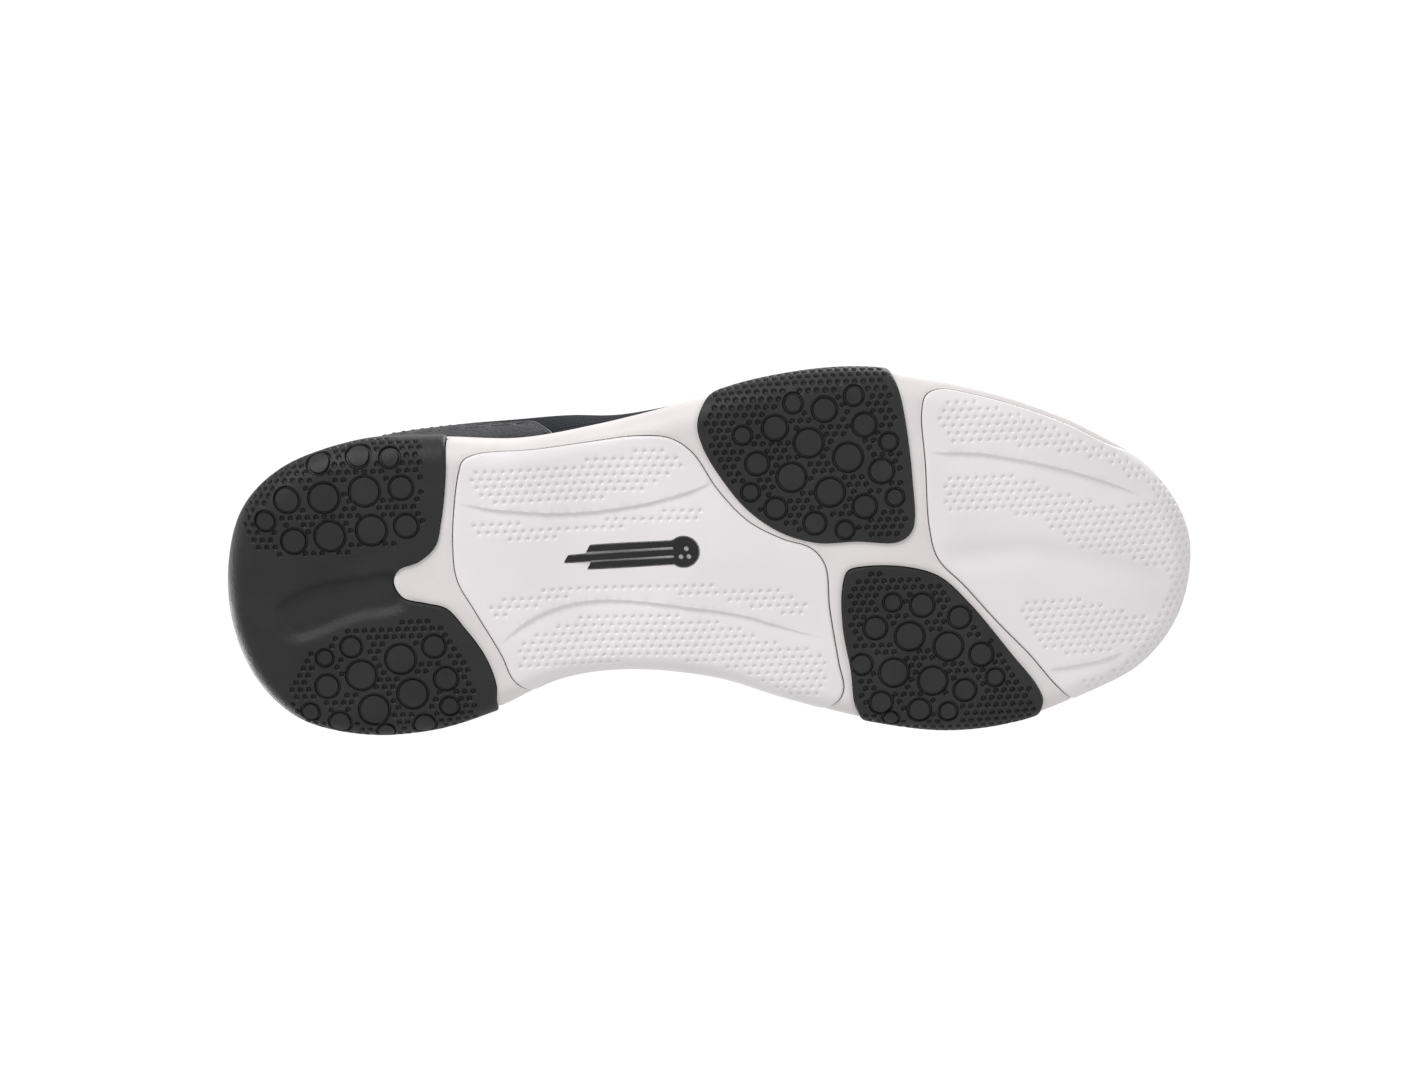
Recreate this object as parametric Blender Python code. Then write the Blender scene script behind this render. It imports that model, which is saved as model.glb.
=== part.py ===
"""Bowling shoe for the right foot, built as separate sub-parts.

+X runs towards the toe, +Y towards the arch (medial) side and +Z up; the sole rests on z = 0.
Sizes below are in millimetres and become metres in build_object.

Two mappings carry most of the shape.  sole_place bends flat outsole sheets round the edge of the
sole and up its side wall.  upper_place gives the skin of the upper from a station t, which counts
0 at the back of the heel, 15 at the toe tip and 30 back at the heel, and a height share v.
"""

import math

import bmesh
import bpy
import numpy as np
from mathutils import Vector
from mathutils.geometry import delaunay_2d_cdt

MM = 0.001

# Widest plan outline of the sole, from the toe tip round the arch side to the heel and back.
SOLE_OUTLINE = [
    (150, 6), (146, 25), (134, 39.5), (114, 48.5), (94, 54.7), (72, 56.5), (48, 52.8), (22, 45.2),
    (0, 37.6), (-24, 34.6), (-48, 36.8), (-68, 45), (-88, 50.6), (-110, 51.2), (-130, 45), (-143, 31),
    (-149, 8), (-144, -18), (-131, -31.5), (-108, -39.2), (-84, -40), (-58, -38.8), (-34, -42),
    (-8, -48), (18, -54.6), (44, -57), (70, -53.8), (96, -46.3), (120, -34.8), (138, -20.5),
    (147.5, -6),
]
OUTLINE_STEP = 0.8
EDGE_RADIUS = 7.0
PAD_PROUD = 1.0
PAD_THICK = 2.6
PANEL_PROUD = 0.3
PANEL_THICK = 1.9
SEAT_GAP = 0.8
SEAM_GAP = 0.35
# Mesh points keep this far from outlines.
MESH_MARGIN = 2.2

# Heights along the shoe as (x, z).
RIM_HEIGHT = [(-150, 34), (-110, 30.5), (-60, 26), (0, 23), (60, 21), (110, 23.5), (150, 32)]
CUP_FLOOR = [(-150, 25.5), (-110, 23.5), (-60, 20.5), (0, 16), (50, 13), (90, 15), (120, 19.5), (150, 26)]
RIM_THICK = 3.2
CUP_GAP = 0.9

# Seams of the outsole pieces on the flat of the sole.  Where a piece wraps over the edge, its
# outline goes on as a skirt: (start, end, reach) along the sole outline.
HEEL_PAD_FRONT = [
    (-80, -38), (-80.5, -28), (-82.3, -16), (-84.5, -8), (-89.7, -3.4), (-96, -1), (-97.8, 3),
    (-95.1, 8.1), (-88, 10.2), (-82, 12), (-76.7, 18.3), (-71, 27), (-67.9, 36), (-67.8, 43),
]
HEEL_PAD_SKIRT = ((-70, 46), (-82, -40), 18)
MIDFOOT_FRONT = [
    (-76, -30), (-74.5, -34), (-70, -36.2), (-51, -37), (-36, -38.3), (-21, -39.7), (-11, -38.6),
    (-4.5, -34), (3, -22), (12, -12), (22, -6.3), (31, -2.9), (35, 2.5), (36, 16), (38.3, 33),
    (39.6, 42), (36.5, 47),
]
MIDFOOT_SKIRT = ((28, 47.5), (-52, 38), 6)
MIDFOOT_BACK = [(-61.5, 36), (-65.5, 27), (-73, 13), (-78, 3), (-78.8, -8), (-77.5, -22)]
LATERAL_PAD_FRONT = [
    (-2.2, -44), (-1, -36), (5, -25), (12, -16), (22, -8.6), (33, -5), (45, -5), (58, -4.5),
    (62, -8), (62.2, -24), (60, -45), (58, -54),
]
LATERAL_PAD_SKIRT = ((53, -56), (8, -52.5), 8)
MEDIAL_PAD_FRONT = [
    (40.4, 10), (42.2, 4.6), (47, 3.4), (60, 4), (70, 7.3), (79, 16), (92, 33), (100, 44), (101.5, 49.5),
]
MEDIAL_PAD_SKIRT = ((96, 54), (50, 53), 7)
MEDIAL_PAD_BACK = [(43.6, 48), (42.4, 36), (40.3, 22)]
TOE_PANEL_SIDE = [(66, -44), (67.5, -49.5), (72, -51.4), (82, -49.4), (96, -45), (111, -38.8), (126, -31)]
TOE_PANEL_SKIRT = ((140, -18), (118, 47), 13)
TOE_PANEL_BACK = [(106.5, 44), (97.8, 33.1), (88, 22.3), (78.1, 10.5), (70, 1.5), (67.6, -8), (66.8, -28)]

# Emblem on the waist of the sole: a ball with three finger holes and three bars behind it.
BADGE_CENTRE = (-27.0, -2.7)
BADGE_LENGTH = 47.0
BADGE_HEIGHT = 9.4
BADGE_TILT = math.radians(-2.2)
BADGE_THICK = 1.0
BADGE_RECESS = 0.6

# Inner sole parts.
SHANK_LENGTH = 86.0
SHANK_WIDTH = 20.0
SHANK_CENTRE = (-28.0, -1.5)
SHANK_THICK = 1.5
BOARD_THICK = 1.4
FOOTBED_THICK = 4.0
FOOTBED_HINGE = (137.0, 5.0, 25.4)

# Radial layers of the upper, as distances from its outer skin.
SKIN_INNER = -1.4
OVERLAY_PROUD = 0.7
STIFFENER = (-3.3, -2.1)
LINING = (-4.9, -4.1)
COLLAR_FOAM_DEPTH = 6.0
COLLAR_LINING_THICK = 0.8

# Ridge of the upper over the foot, and the stations of its skin.
# Each station: (sole anchor x, y), (top x, y, z), (rise, bulge) at the sole and (drop, bulge) at the top.
HEEL_STATION = ((-149, 8), (-133.5, 5, 93), (22, 3), (22, 1.5))
TOE_STATION = ((150, 6), (110, 5, 45.5), (14, 1), (0.5, 16))
MEDIAL_STATIONS = [
    ((-138, 37), (-124, 28, 89), (20, 3), (18, 2)),
    ((-110, 51.2), (-104, 37.5, 79), (17, 3), (14, 3)),
    ((-84, 49.8), (-82, 40.5, 71), (15, 3), (12, 4)),
    ((-60, 41.4), (-60, 38.5, 73), (15, 6), (13, 7)),
    ((-42, 36.2), (-43, 32, 84), (18, 8), (15, 12)),
    ((-24, 34.6), (-28, 24, 97), (22, 9), (18, 16)),
    ((-2, 37), (-6, 20, 90), (20, 7), (10, 20)),
    ((20, 44.5), (18, 17.5, 79), (18, 4), (6, 24)),
    ((42, 51), (41, 14, 69), (17, 2), (4, 26)),
    ((56, 54.5), (53.5, 9.5, 63.6), (16, 1.5), (2.5, 28)),
]
LATERAL_STATIONS = [
    ((-137, -27.5), (-124, -18, 89), (20, 3), (18, 2)),
    ((-108, -39.2), (-104, -28, 78), (16, 4), (14, 3)),
    ((-84, -40), (-82, -33, 70), (14, 5), (12, 4)),
    ((-60, -38.9), (-60, -31.5, 72), (14, 8), (12, 8)),
    ((-42, -40.5), (-43, -26, 83.5), (18, 7), (14, 14)),
    ((-24, -44.4), (-28, -18.5, 97), (22, 4), (18, 18)),
    ((-2, -49.4), (-6, -16, 90), (20, 3), (10, 22)),
    ((20, -55), (18, -13, 79), (18, 2), (6, 26)),
    ((44, -57), (41, -9.5, 69), (17, 1.5), (4, 27)),
    ((57, -56), (53.5, -5.5, 63.6), (16, 1.5), (2.5, 28)),
]
# On the toe box both sides meet on the ridge, so they share its points.
RIDGE_TOPS = [(58, 2, 62), (73, 2.5, 57.5), (88, 3.5, 53), (101, 4.5, 49)]
MEDIAL_RIDGE_ANCHORS = [(66, 56), (84, 56), (106, 51.5), (128, 42.5)]
LATERAL_RIDGE_ANCHORS = [(68, -54.2), (86, -49.6), (107, -41.5), (128, -29)]
RIDGE_SHAPES = [((16, 1.5), (1, 30)), ((16, 1.5), (1, 27)), ((15, 1.5), (1, 23)), ((15, 1.5), (1, 18))]
THROAT_STATION = 11
TOE_TIP_STATION = 15
STATION_COUNT = 30

# Upper pieces in (station, height share).  UPPER_SCALE gives both about millimetres for meshing.
UPPER_SCALE = np.array([20.0, 62.0])
UPPER_PITCH = 9.0
UPPER_GAP = 0.45
COUNTER_TOP = 0.62
VAMP_BREAK = [(10.0, 0.4), (10.72, 0.745)]
TOE_CAP_TOP = [(9.75, 0.2), (11.5, 0.3), (15, 0.37), (18.5, 0.3), (20.25, 0.2)]
COUNTER_FRONT = [(4.5, 0), (4.65, 0.25), (4.3, 0.48), (3.0, COUNTER_TOP)]
EYESTAY_BACK = [(6.0, 0.745), (5.85, 1.0)]
TAB_HALF = 0.8
SKIN = (SKIN_INNER, 0.0)
RIM_SHARE = 0.19
EYELET_STATIONS = [6.3, 7.02, 7.74, 8.42, 9.08, 9.7]
EYELET_SETBACK = 6.4
EYELET_OUTER = 3.6
EYELET_INNER = 2.5
EYELET_FLANGE = 0.7
LACE_RADIUS = 1.25
# Depth of the lace under the eyestays, and its way through an eyelet as (height, reach inwards).
LACE_UNDER = 4.0
LACE_NUDGE = 0.22
LACE_BEND = [(-2.2, 0), (2.6, 0), (5.3, 2.4), (5.4, 7)]

# Tongue: outer surface of its centre line as (x, z), its half widths and thicknesses along it.
TONGUE_LINE = [
    (62, 57.2), (56, 59.0), (42, 64.4), (18, 75.2), (-6, 87.0), (-24, 98), (-36, 109), (-44, 119.6),
    (-48, 127.8),
]
TONGUE_HALF_WIDTH = [9.5, 11, 13, 16, 19, 20.5, 22, 23.5, 21.5]
TONGUE_THICK = [1.0, 1.1, 4.0, 5.5, 6.0, 6.5, 7.0, 7.0, 5.5]
TONGUE_ARCH = [64, 58, 44, 36, 30, 28, 32, 38, 42]
TONGUE_CENTRE_Y = 2.5
TONGUE_FOOT = (62.0, TONGUE_CENTRE_Y, 57.2)

# Webbing loop at the back of the heel.
PULL_TAB_CENTRE = (-134.0, 5.0, 105.5)
PULL_TAB_RADII = (5.4, 11.5)
PULL_TAB_WIDTH = 11.0
PULL_TAB_STRIP = 1.5

# Looks as (colour, roughness, metallic).
WHITE_FOAM = ((0.76, 0.74, 0.72), 0.55)
WHITE_RUBBER = ((0.86, 0.87, 0.9), 0.35)
BLACK_RUBBER = ((0.02, 0.021, 0.023), 0.5)
SHANK_GREY = ((0.3, 0.3, 0.32), 0.5)
BOARD_TAN = ((0.62, 0.55, 0.44), 0.85)
FOOTBED_BLACK = ((0.03, 0.03, 0.035), 0.9)
LEATHER_GREY = ((0.035, 0.035, 0.04), 0.45)
MESH_BLACK = ((0.012, 0.013, 0.02), 0.8)
LINING_GREY = ((0.08, 0.08, 0.09), 0.9)
METAL_DARK = ((0.15, 0.15, 0.16), 0.35, 1.0)
LACE_BLACK = ((0.02, 0.02, 0.022), 0.85)


def through(x, points):
    """A smooth curve y(x) through hand-set points, held level beyond them."""
    xs = np.array([p[0] for p in points], float)
    ys = np.array([p[1] for p in points], float)
    x = np.clip(np.asarray(x, float), xs[0], xs[-1])
    slope = np.gradient(ys, xs)
    i = np.clip(np.searchsorted(xs, x, side="right") - 1, 0, len(xs) - 2)
    span = xs[i + 1] - xs[i]
    f = (x - xs[i]) / span
    keep = ys[i] * (1 + 2 * f) * (1 - f) ** 2 + ys[i + 1] * (3 - 2 * f) * f**2
    turn = slope[i] * f * (1 - f) ** 2 - slope[i + 1] * (1 - f) * f**2
    return keep + span * turn


def closed_curve(points, step):
    """A closed smooth curve through the points, sampled about every step."""
    p = np.array(points, float)
    before, after, beyond = np.roll(p, 1, 0), np.roll(p, -1, 0), np.roll(p, -2, 0)
    chord = np.linalg.norm(after - p, axis=1)
    knot = np.sqrt(chord)
    last, coming = np.roll(knot, 1), np.roll(knot, -1)
    samples = []
    for i in range(len(p)):
        a, b, c = last[i], knot[i], coming[i]
        start = (p[i] - before[i]) / a - (after[i] - before[i]) / (a + b) + (after[i] - p[i]) / b
        end = (after[i] - p[i]) / b - (beyond[i] - p[i]) / (b + c) + (beyond[i] - after[i]) / c
        f = np.linspace(0, 1, max(1, round(chord[i] / step)) + 1)[:-1, None]
        samples.append(
            p[i] * (1 + 2 * f) * (1 - f) ** 2
            + after[i] * (3 - 2 * f) * f**2
            + b * start * f * (1 - f) ** 2
            - b * end * (1 - f) * f**2
        )
    return np.concatenate(samples)


def resampled(loop, count):
    """The closed loop again, as count evenly spaced points."""
    ring = np.vstack([loop, loop[:1]])
    along = np.concatenate([[0], np.cumsum(np.linalg.norm(np.diff(ring, axis=0), axis=1))])
    where = np.linspace(0, along[-1], count, endpoint=False)
    return np.stack([np.interp(where, along, ring[:, k]) for k in range(2)], axis=1)


def outward_normals(loop):
    """Unit plan normals pointing out of a loop that runs anticlockwise."""
    along = np.roll(loop, -1, 0) - np.roll(loop, 1, 0)
    normal = np.stack([along[:, 1], -along[:, 0]], axis=1)
    return normal / np.linalg.norm(normal, axis=1, keepdims=True)


OUTLINE = closed_curve(SOLE_OUTLINE, OUTLINE_STEP)
OUTLINE = resampled(OUTLINE, 1200)
OUTLINE_NORMAL = outward_normals(OUTLINE)


def outline_index(point):
    """Place of the outline point nearest to a plan point, as a whole index."""
    return int(np.argmin(((OUTLINE - np.array(point, float)) ** 2).sum(1)))


def outline_at(place):
    """Plan points and outward normals at fractional places along the outline."""
    place = np.asarray(place, float) % len(OUTLINE)
    low = np.floor(place).astype(int)
    high = (low + 1) % len(OUTLINE)
    f = (place - low)[..., None]
    normal = OUTLINE_NORMAL[low] * (1 - f) + OUTLINE_NORMAL[high] * f
    normal /= np.linalg.norm(normal, axis=-1, keepdims=True)
    return OUTLINE[low] * (1 - f) + OUTLINE[high] * f, normal


def outline_place(points):
    """Fractional place of the nearest outline point, and how far inside it each point lies."""
    points = np.asarray(points, float)
    nearest = np.array([np.argmin(((OUTLINE - p) ** 2).sum(1)) for p in points])
    tangent = np.stack([-OUTLINE_NORMAL[nearest][:, 1], OUTLINE_NORMAL[nearest][:, 0]], axis=1)
    step = np.linalg.norm(OUTLINE[1] - OUTLINE[0])
    place = nearest + ((points - OUTLINE[nearest]) * tangent).sum(1) / step
    foot, normal = outline_at(place)
    return place, ((foot - points) * normal).sum(1)


def wall_lean(foot_x):
    """Inward lean of the side wall, in radians: more at the toe bumper."""
    toe = np.clip((np.asarray(foot_x, float) - 105) / 40, 0, 1)
    return np.radians(7 + 8 * toe**2)


def sole_base(x):
    """Height of the frame under the shoe: flat under the ball and heel, raised between and at the ends."""
    x = np.asarray(x, float)
    toe = 13 * (np.clip(x - 62, 0, None) / 88) ** 2.2
    heel = 4 * (np.clip(-124 - x, 0, None) / 26) ** 2
    waist = 2.5 * np.sin(np.pi * np.clip((x + 66) / 62, 0, 1)) ** 2
    return PAD_PROUD + toe + heel + waist


def wall_arc(foot_x, height):
    """Length round the edge and up the wall from the start of the roll to a height above the base."""
    lean = wall_lean(foot_x)
    roll = EDGE_RADIUS * (math.pi / 2 + lean)
    roll_rise = EDGE_RADIUS * (1 - np.cos(math.pi / 2 + lean))
    return roll + (height - roll_rise) / np.cos(lean)


def wall_inset(foot_x, arc):
    """How far inside the widest outline the wall is at this arc length."""
    lean = wall_lean(foot_x)
    turned = np.minimum(arc / EDGE_RADIUS, math.pi / 2 + lean)
    straight = np.clip(arc - EDGE_RADIUS * (math.pi / 2 + lean), 0, None)
    return EDGE_RADIUS * (1 - np.sin(turned)) + straight * np.sin(lean)


def sole_place(flat, lift):
    """Bends points of the flat outsole sheet onto the sole, lifted outwards by lift."""
    flat = np.asarray(flat, float)
    place, inside = outline_place(flat)
    foot, normal = outline_at(place)
    lean = wall_lean(foot[:, 0])
    arc = np.clip(EDGE_RADIUS - inside, 0, None)
    turned = np.minimum(arc / EDGE_RADIUS, math.pi / 2 + lean)
    straight = np.clip(arc - EDGE_RADIUS * (math.pi / 2 + lean), 0, None)
    inset = wall_inset(foot[:, 0], arc)
    plan = np.where((inside >= EDGE_RADIUS)[:, None], flat, foot - normal * inset[:, None])
    rise = EDGE_RADIUS * (1 - np.cos(turned)) + straight * np.cos(lean)
    xy = plan + normal * (lift * np.sin(turned))[:, None]
    z = sole_base(plan[:, 0]) + rise - lift * np.cos(turned)
    return np.column_stack([xy, z])


def skirt(start, end, reach, step=9.0):
    """Points beyond the sole outline from start to end, the way round that a closed outline runs."""
    first, last = outline_index(start), outline_index(end)
    count = (last - first) % len(OUTLINE)
    length = count * np.linalg.norm(OUTLINE[1] - OUTLINE[0])
    foot, normal = outline_at(first + np.linspace(0, count, max(2, round(length / step))))
    return [tuple(p) for p in foot + normal * reach]


def piece_outlines():
    """Flat outline of each outsole piece, sampled."""
    lateral = skirt(LATERAL_PAD_SKIRT[1], LATERAL_PAD_SKIRT[0], LATERAL_PAD_SKIRT[2])
    outlines = {
        "heel_pad": HEEL_PAD_FRONT + skirt(*HEEL_PAD_SKIRT),
        "midfoot_panel": MIDFOOT_FRONT + skirt(*MIDFOOT_SKIRT) + MIDFOOT_BACK,
        "forefoot_pad_lateral": lateral + LATERAL_PAD_FRONT[::-1],
        "forefoot_pad_medial": MEDIAL_PAD_FRONT + skirt(*MEDIAL_PAD_SKIRT) + MEDIAL_PAD_BACK,
        "toe_panel": TOE_PANEL_SIDE + skirt(*TOE_PANEL_SKIRT) + TOE_PANEL_BACK,
    }
    return {name: closed_curve(points, 4.5) for name, points in outlines.items()}


def inside_loop(points, loop):
    """Which plan points lie inside the closed loop."""
    x, y = points[:, 0], points[:, 1]
    found = np.zeros(len(points), bool)
    for (ax, ay), (bx, by) in zip(loop, np.roll(loop, -1, 0)):
        crosses = (ay > y) != (by > y)
        if crosses.any():
            at = ax + (y[crosses] - ay) / (by - ay) * (bx - ax)
            found[crosses] ^= x[crosses] < at
    return found


def distance_to_loop(points, loop):
    """Distance from each plan point to the closed loop."""
    start = loop[None]
    side = (np.roll(loop, -1, 0) - loop)[None]
    offset = points[:, None] - start
    f = np.clip((offset * side).sum(2) / (side**2).sum(2), 0, 1)
    return np.linalg.norm(offset - f[..., None] * side, axis=2).min(1)


def grown(loop, amount):
    """The loop moved outwards by amount."""
    return loop + outward_normals(loop) * amount


def triangulated(loops, inner):
    """Triangulates loops and inner points.  Returns the points and the triangles of their hull."""
    points = np.vstack([*loops, inner])
    edges = []
    start = 0
    for loop in loops:
        count = len(loop)
        edges += [(start + i, start + (i + 1) % count) for i in range(count)]
        start += count
    made = delaunay_2d_cdt([Vector(p) for p in points], edges, [], 0, 1e-5)
    return np.array([tuple(p) for p in made[0]]), np.array([tuple(f) for f in made[2]])


def edge_uses(triangles):
    """Maps each undirected edge to the triangles on it."""
    uses = {}
    for t, triangle in enumerate(triangles):
        for k in range(3):
            edge = tuple(sorted((int(triangle[k]), int(triangle[(k + 1) % 3]))))
            uses.setdefault(edge, []).append(t)
    return uses


def clear_of(points, loops, margin):
    """The points that are further than margin from every loop."""
    keep = np.ones(len(points), bool)
    for loop in loops:
        keep &= distance_to_loop(points, loop) > margin
    return points[keep]


def material(name, colour, roughness, metallic=0.0):
    """A plain Principled material of its own for one node."""
    made = bpy.data.materials.new(name)
    made.use_nodes = True
    shader = made.node_tree.nodes["Principled BSDF"]
    shader.inputs["Base Color"].default_value = (*colour, 1)
    shader.inputs["Roughness"].default_value = roughness
    shader.inputs["Metallic"].default_value = metallic
    return made


def build_object(name, points, faces, look, pivot=(0, 0, 0)):
    """Makes the named object from points in millimetres, closed and facing out, with its origin on pivot."""
    pivot = np.array(pivot, float)
    mesh = bpy.data.meshes.new(name)
    mesh.from_pydata(((np.asarray(points) - pivot) * MM).tolist(), [], [list(map(int, f)) for f in faces])
    work = bmesh.new()
    work.from_mesh(mesh)
    bmesh.ops.remove_doubles(work, verts=work.verts, dist=2e-6)
    loose = [v for v in work.verts if not v.link_faces]
    bmesh.ops.delete(work, geom=loose, context="VERTS")
    bmesh.ops.recalc_face_normals(work, faces=work.faces)
    if work.calc_volume(signed=True) < 0:
        bmesh.ops.reverse_faces(work, faces=work.faces)
    work.to_mesh(mesh)
    work.free()
    mesh.shade_smooth()
    mesh.set_sharp_from_angle(angle=math.radians(35))
    mesh.materials.append(material(name, *look))
    made = bpy.data.objects.new(name, mesh)
    made.location = Vector(pivot * MM)
    bpy.context.collection.objects.link(made)
    return made


def plate(outline, holes, inner, place, low, high, weld=False):
    """A bent plate: the outline less its holes, between the lifts low and high of the mapping place.

    With weld, outline points that the mapping brings together, as on the toe ridge, are joined."""
    flat, triangles = triangulated([outline, *holes], inner)
    centre = flat[triangles].mean(1)
    keep = inside_loop(centre, outline)
    for hole in holes:
        keep &= ~inside_loop(centre, hole)
    triangles = triangles[keep]
    if weld:
        _, first, index = np.unique(
            np.round(place(flat, np.zeros(len(flat))), 3), axis=0, return_index=True, return_inverse=True
        )
        flat, triangles = flat[first], index.reshape(-1)[triangles]
    count = len(flat)
    lows = low(flat) if callable(low) else np.full(count, float(low))
    highs = high(flat) if callable(high) else np.full(count, float(high))
    points = np.vstack([place(flat, highs), place(flat, lows)])
    faces = [tuple(t) for t in triangles] + [tuple(t[::-1] + count) for t in triangles]
    for (a, b), users in edge_uses(triangles).items():
        if len(users) == 1:
            faces.append((a, b, b + count, a + count))
    return points, faces


def sole_points():
    """Points that every sole sheet is meshed on: rings round the edge and a grid on the flat."""
    ring = resampled(OUTLINE, 84)
    normal = outward_normals(ring)
    arcs = EDGE_RADIUS * np.radians([0, 24, 48, 72, 97])
    rings = [ring + normal * (arc - EDGE_RADIUS) for arc in arcs]
    rings += [ring + normal * reach for reach in (9.5, 14.5)]
    pitch = 13.0
    grid = []
    for row, y in enumerate(np.arange(-60, 61, pitch * 0.866)):
        shift = pitch / 2 * (row % 2)
        grid += [(x + shift, y) for x in np.arange(-150, 151, pitch)]
    grid = np.array(grid)
    grid = grid[inside_loop(grid, OUTLINE)]
    grid = clear_of(grid, [OUTLINE], EDGE_RADIUS + 4)
    return np.vstack([*rings, grid])


def wall_top_ring(count):
    """The flat outline of the sole sheet, whose edge is the top of the side wall."""
    place = np.linspace(0, len(OUTLINE), count, endpoint=False)
    foot, normal = outline_at(place)
    height = through(foot[:, 0], RIM_HEIGHT) - sole_base(foot[:, 0])
    reach = wall_arc(foot[:, 0], height) - EDGE_RADIUS
    return foot, normal, foot + normal * reach[:, None]


def cup_inset(foot_x):
    """How far inside the widest outline the inner face of the rim is."""
    height = through(foot_x, RIM_HEIGHT) - sole_base(foot_x)
    return wall_inset(foot_x, wall_arc(foot_x, height)) + RIM_THICK


def shank_outline():
    """Plan outline of the shank, waisted in the middle."""
    half, wide = SHANK_LENGTH / 2, SHANK_WIDTH / 2
    corners = [
        (half, -wide * 0.6), (half, wide * 0.6), (half * 0.85, wide), (0, wide * 0.7), (-half * 0.85, wide),
        (-half, wide * 0.6), (-half, -wide * 0.6), (-half * 0.85, -wide), (0, -wide * 0.7),
        (half * 0.85, -wide),
    ]
    return closed_curve(np.array(corners) + np.array(SHANK_CENTRE), 9)


def midsole(outlines):
    """Foam midsole with its side wall: seats for the outsole pieces below, a cup for the upper above."""
    foot, normal, edge = wall_top_ring(110)
    seats = {name: grown(loop, SEAM_GAP) for name, loop in outlines.items()}
    depth = {name: SEAT_GAP + (PANEL_THICK - PANEL_PROUD if "panel" in name else PAD_THICK - PAD_PROUD)
             for name in outlines}
    inner = sole_points()
    inner = inner[inside_loop(inner, edge)]
    inner = clear_of(inner, [edge, *seats.values()], MESH_MARGIN)
    flat, triangles = triangulated([edge, *seats.values()], inner)
    centre = flat[triangles].mean(1)
    keep = inside_loop(centre, edge)
    triangles, centre = triangles[keep], centre[keep]
    level = np.zeros(len(triangles))
    for name, loop in seats.items():
        level[inside_loop(centre, loop)] = -depth[name]
    points, faces, index = [], [], {}

    def corner(vertex, lift):
        key = (int(vertex), float(lift))
        if key not in index:
            index[key] = len(points)
            points.append(sole_place(flat[[vertex]], np.array([lift]))[0])
        return index[key]

    for triangle, lift in zip(triangles, level):
        faces.append([corner(v, lift) for v in triangle])
    rim = []
    for (a, b), users in edge_uses(triangles).items():
        lifts = {level[u] for u in users}
        if len(users) == 1:
            rim.append((a, b, level[users[0]]))
        elif len(lifts) == 2:
            high, low = max(lifts), min(lifts)
            faces.append([corner(a, high), corner(b, high), corner(b, low), corner(a, low)])
    inset = cup_inset(foot[:, 0])
    inner_ring = foot - normal * inset[:, None]
    rim_top = np.column_stack([inner_ring, through(foot[:, 0], RIM_HEIGHT) - 0.4])
    cup_ring = foot - normal * (inset + 0.3)[:, None]
    ring_of = {int(np.argmin(((edge - flat[v]) ** 2).sum(1))): v for a, b, _ in rim for v in (a, b)}
    start = len(points)
    count = len(edge)
    points += list(rim_top)
    for i in range(count):
        j = (i + 1) % count
        faces.append([corner(ring_of[i], 0.0), corner(ring_of[j], 0.0), start + j, start + i])
    shank = grown(shank_outline(), SEAT_GAP)
    grid = np.array([(x, y) for x in np.arange(-140, 141, 14.0) for y in np.arange(-54, 55, 12.0)])
    grid = grid[inside_loop(grid, cup_ring)]
    grid = clear_of(grid, [cup_ring, shank], 4)
    cap, cap_triangles = triangulated([cup_ring, shank], grid)
    middle = cap[cap_triangles].mean(1)
    keep = inside_loop(middle, cup_ring)
    cap_triangles, middle = cap_triangles[keep], middle[keep]
    sunk = inside_loop(middle, shank)
    height = through(cap[:, 0], CUP_FLOOR)
    upper = len(points)
    points += list(np.column_stack([cap, height]))
    lower = len(points)
    points += list(np.column_stack([cap, height - SHANK_THICK - 1.0]))
    for triangle, down in zip(cap_triangles, sunk):
        faces.append([v + (lower if down else upper) for v in triangle])
    for (a, b), users in edge_uses(cap_triangles).items():
        if len(users) == 2 and sunk[users[0]] != sunk[users[1]]:
            faces.append([upper + a, upper + b, lower + b, lower + a])
    cap_of = [int(np.argmin(((cap - p) ** 2).sum(1))) for p in cup_ring]
    for i in range(count):
        j = (i + 1) % count
        faces.append([start + i, start + j, upper + cap_of[j], upper + cap_of[i]])
    used = sorted({v for face in faces for v in face})
    place = {v: k for k, v in enumerate(used)}
    points = [points[v] for v in used]
    return build_object("midsole", points, [[place[v] for v in face] for face in faces], WHITE_FOAM)


def outsole_piece(name, outline, badge):
    """One outsole piece: a sheet bent over the sole, standing proud of the frame round it."""
    panel = "panel" in name
    proud, thick = (PANEL_PROUD, PANEL_THICK) if panel else (PAD_PROUD, PAD_THICK)
    inner = sole_points()
    inner = inner[inside_loop(inner, outline)]
    holes = [badge] if name == "midfoot_panel" else []
    inner = clear_of(inner, [outline, *holes], MESH_MARGIN)
    look = WHITE_RUBBER if panel else BLACK_RUBBER
    points, faces = plate(outline, holes, inner, sole_place, proud - thick, proud)
    return build_object(name, points, faces, look)


def badge_frame(points):
    """Turns points given along and across the badge into plan points."""
    points = np.asarray(points, float)
    c, s = math.cos(BADGE_TILT), math.sin(BADGE_TILT)
    return points @ np.array([[c, s], [-s, c]]) + np.array(BADGE_CENTRE)


def badge_recess():
    """Outline of the opening in the midfoot panel that the badge sits in."""
    half, wide = BADGE_LENGTH / 2 + 1.2, BADGE_HEIGHT / 2 + 1.2
    corners = [
        (half - 1, -wide), (half, -wide + 1), (half, wide - 1), (half - 1, wide), (0, wide),
        (-half + 1, wide), (-half, wide - 1), (-half, -wide + 1), (-half + 1, -wide), (0, -wide),
    ]
    return closed_curve(badge_frame(corners), 6)


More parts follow.
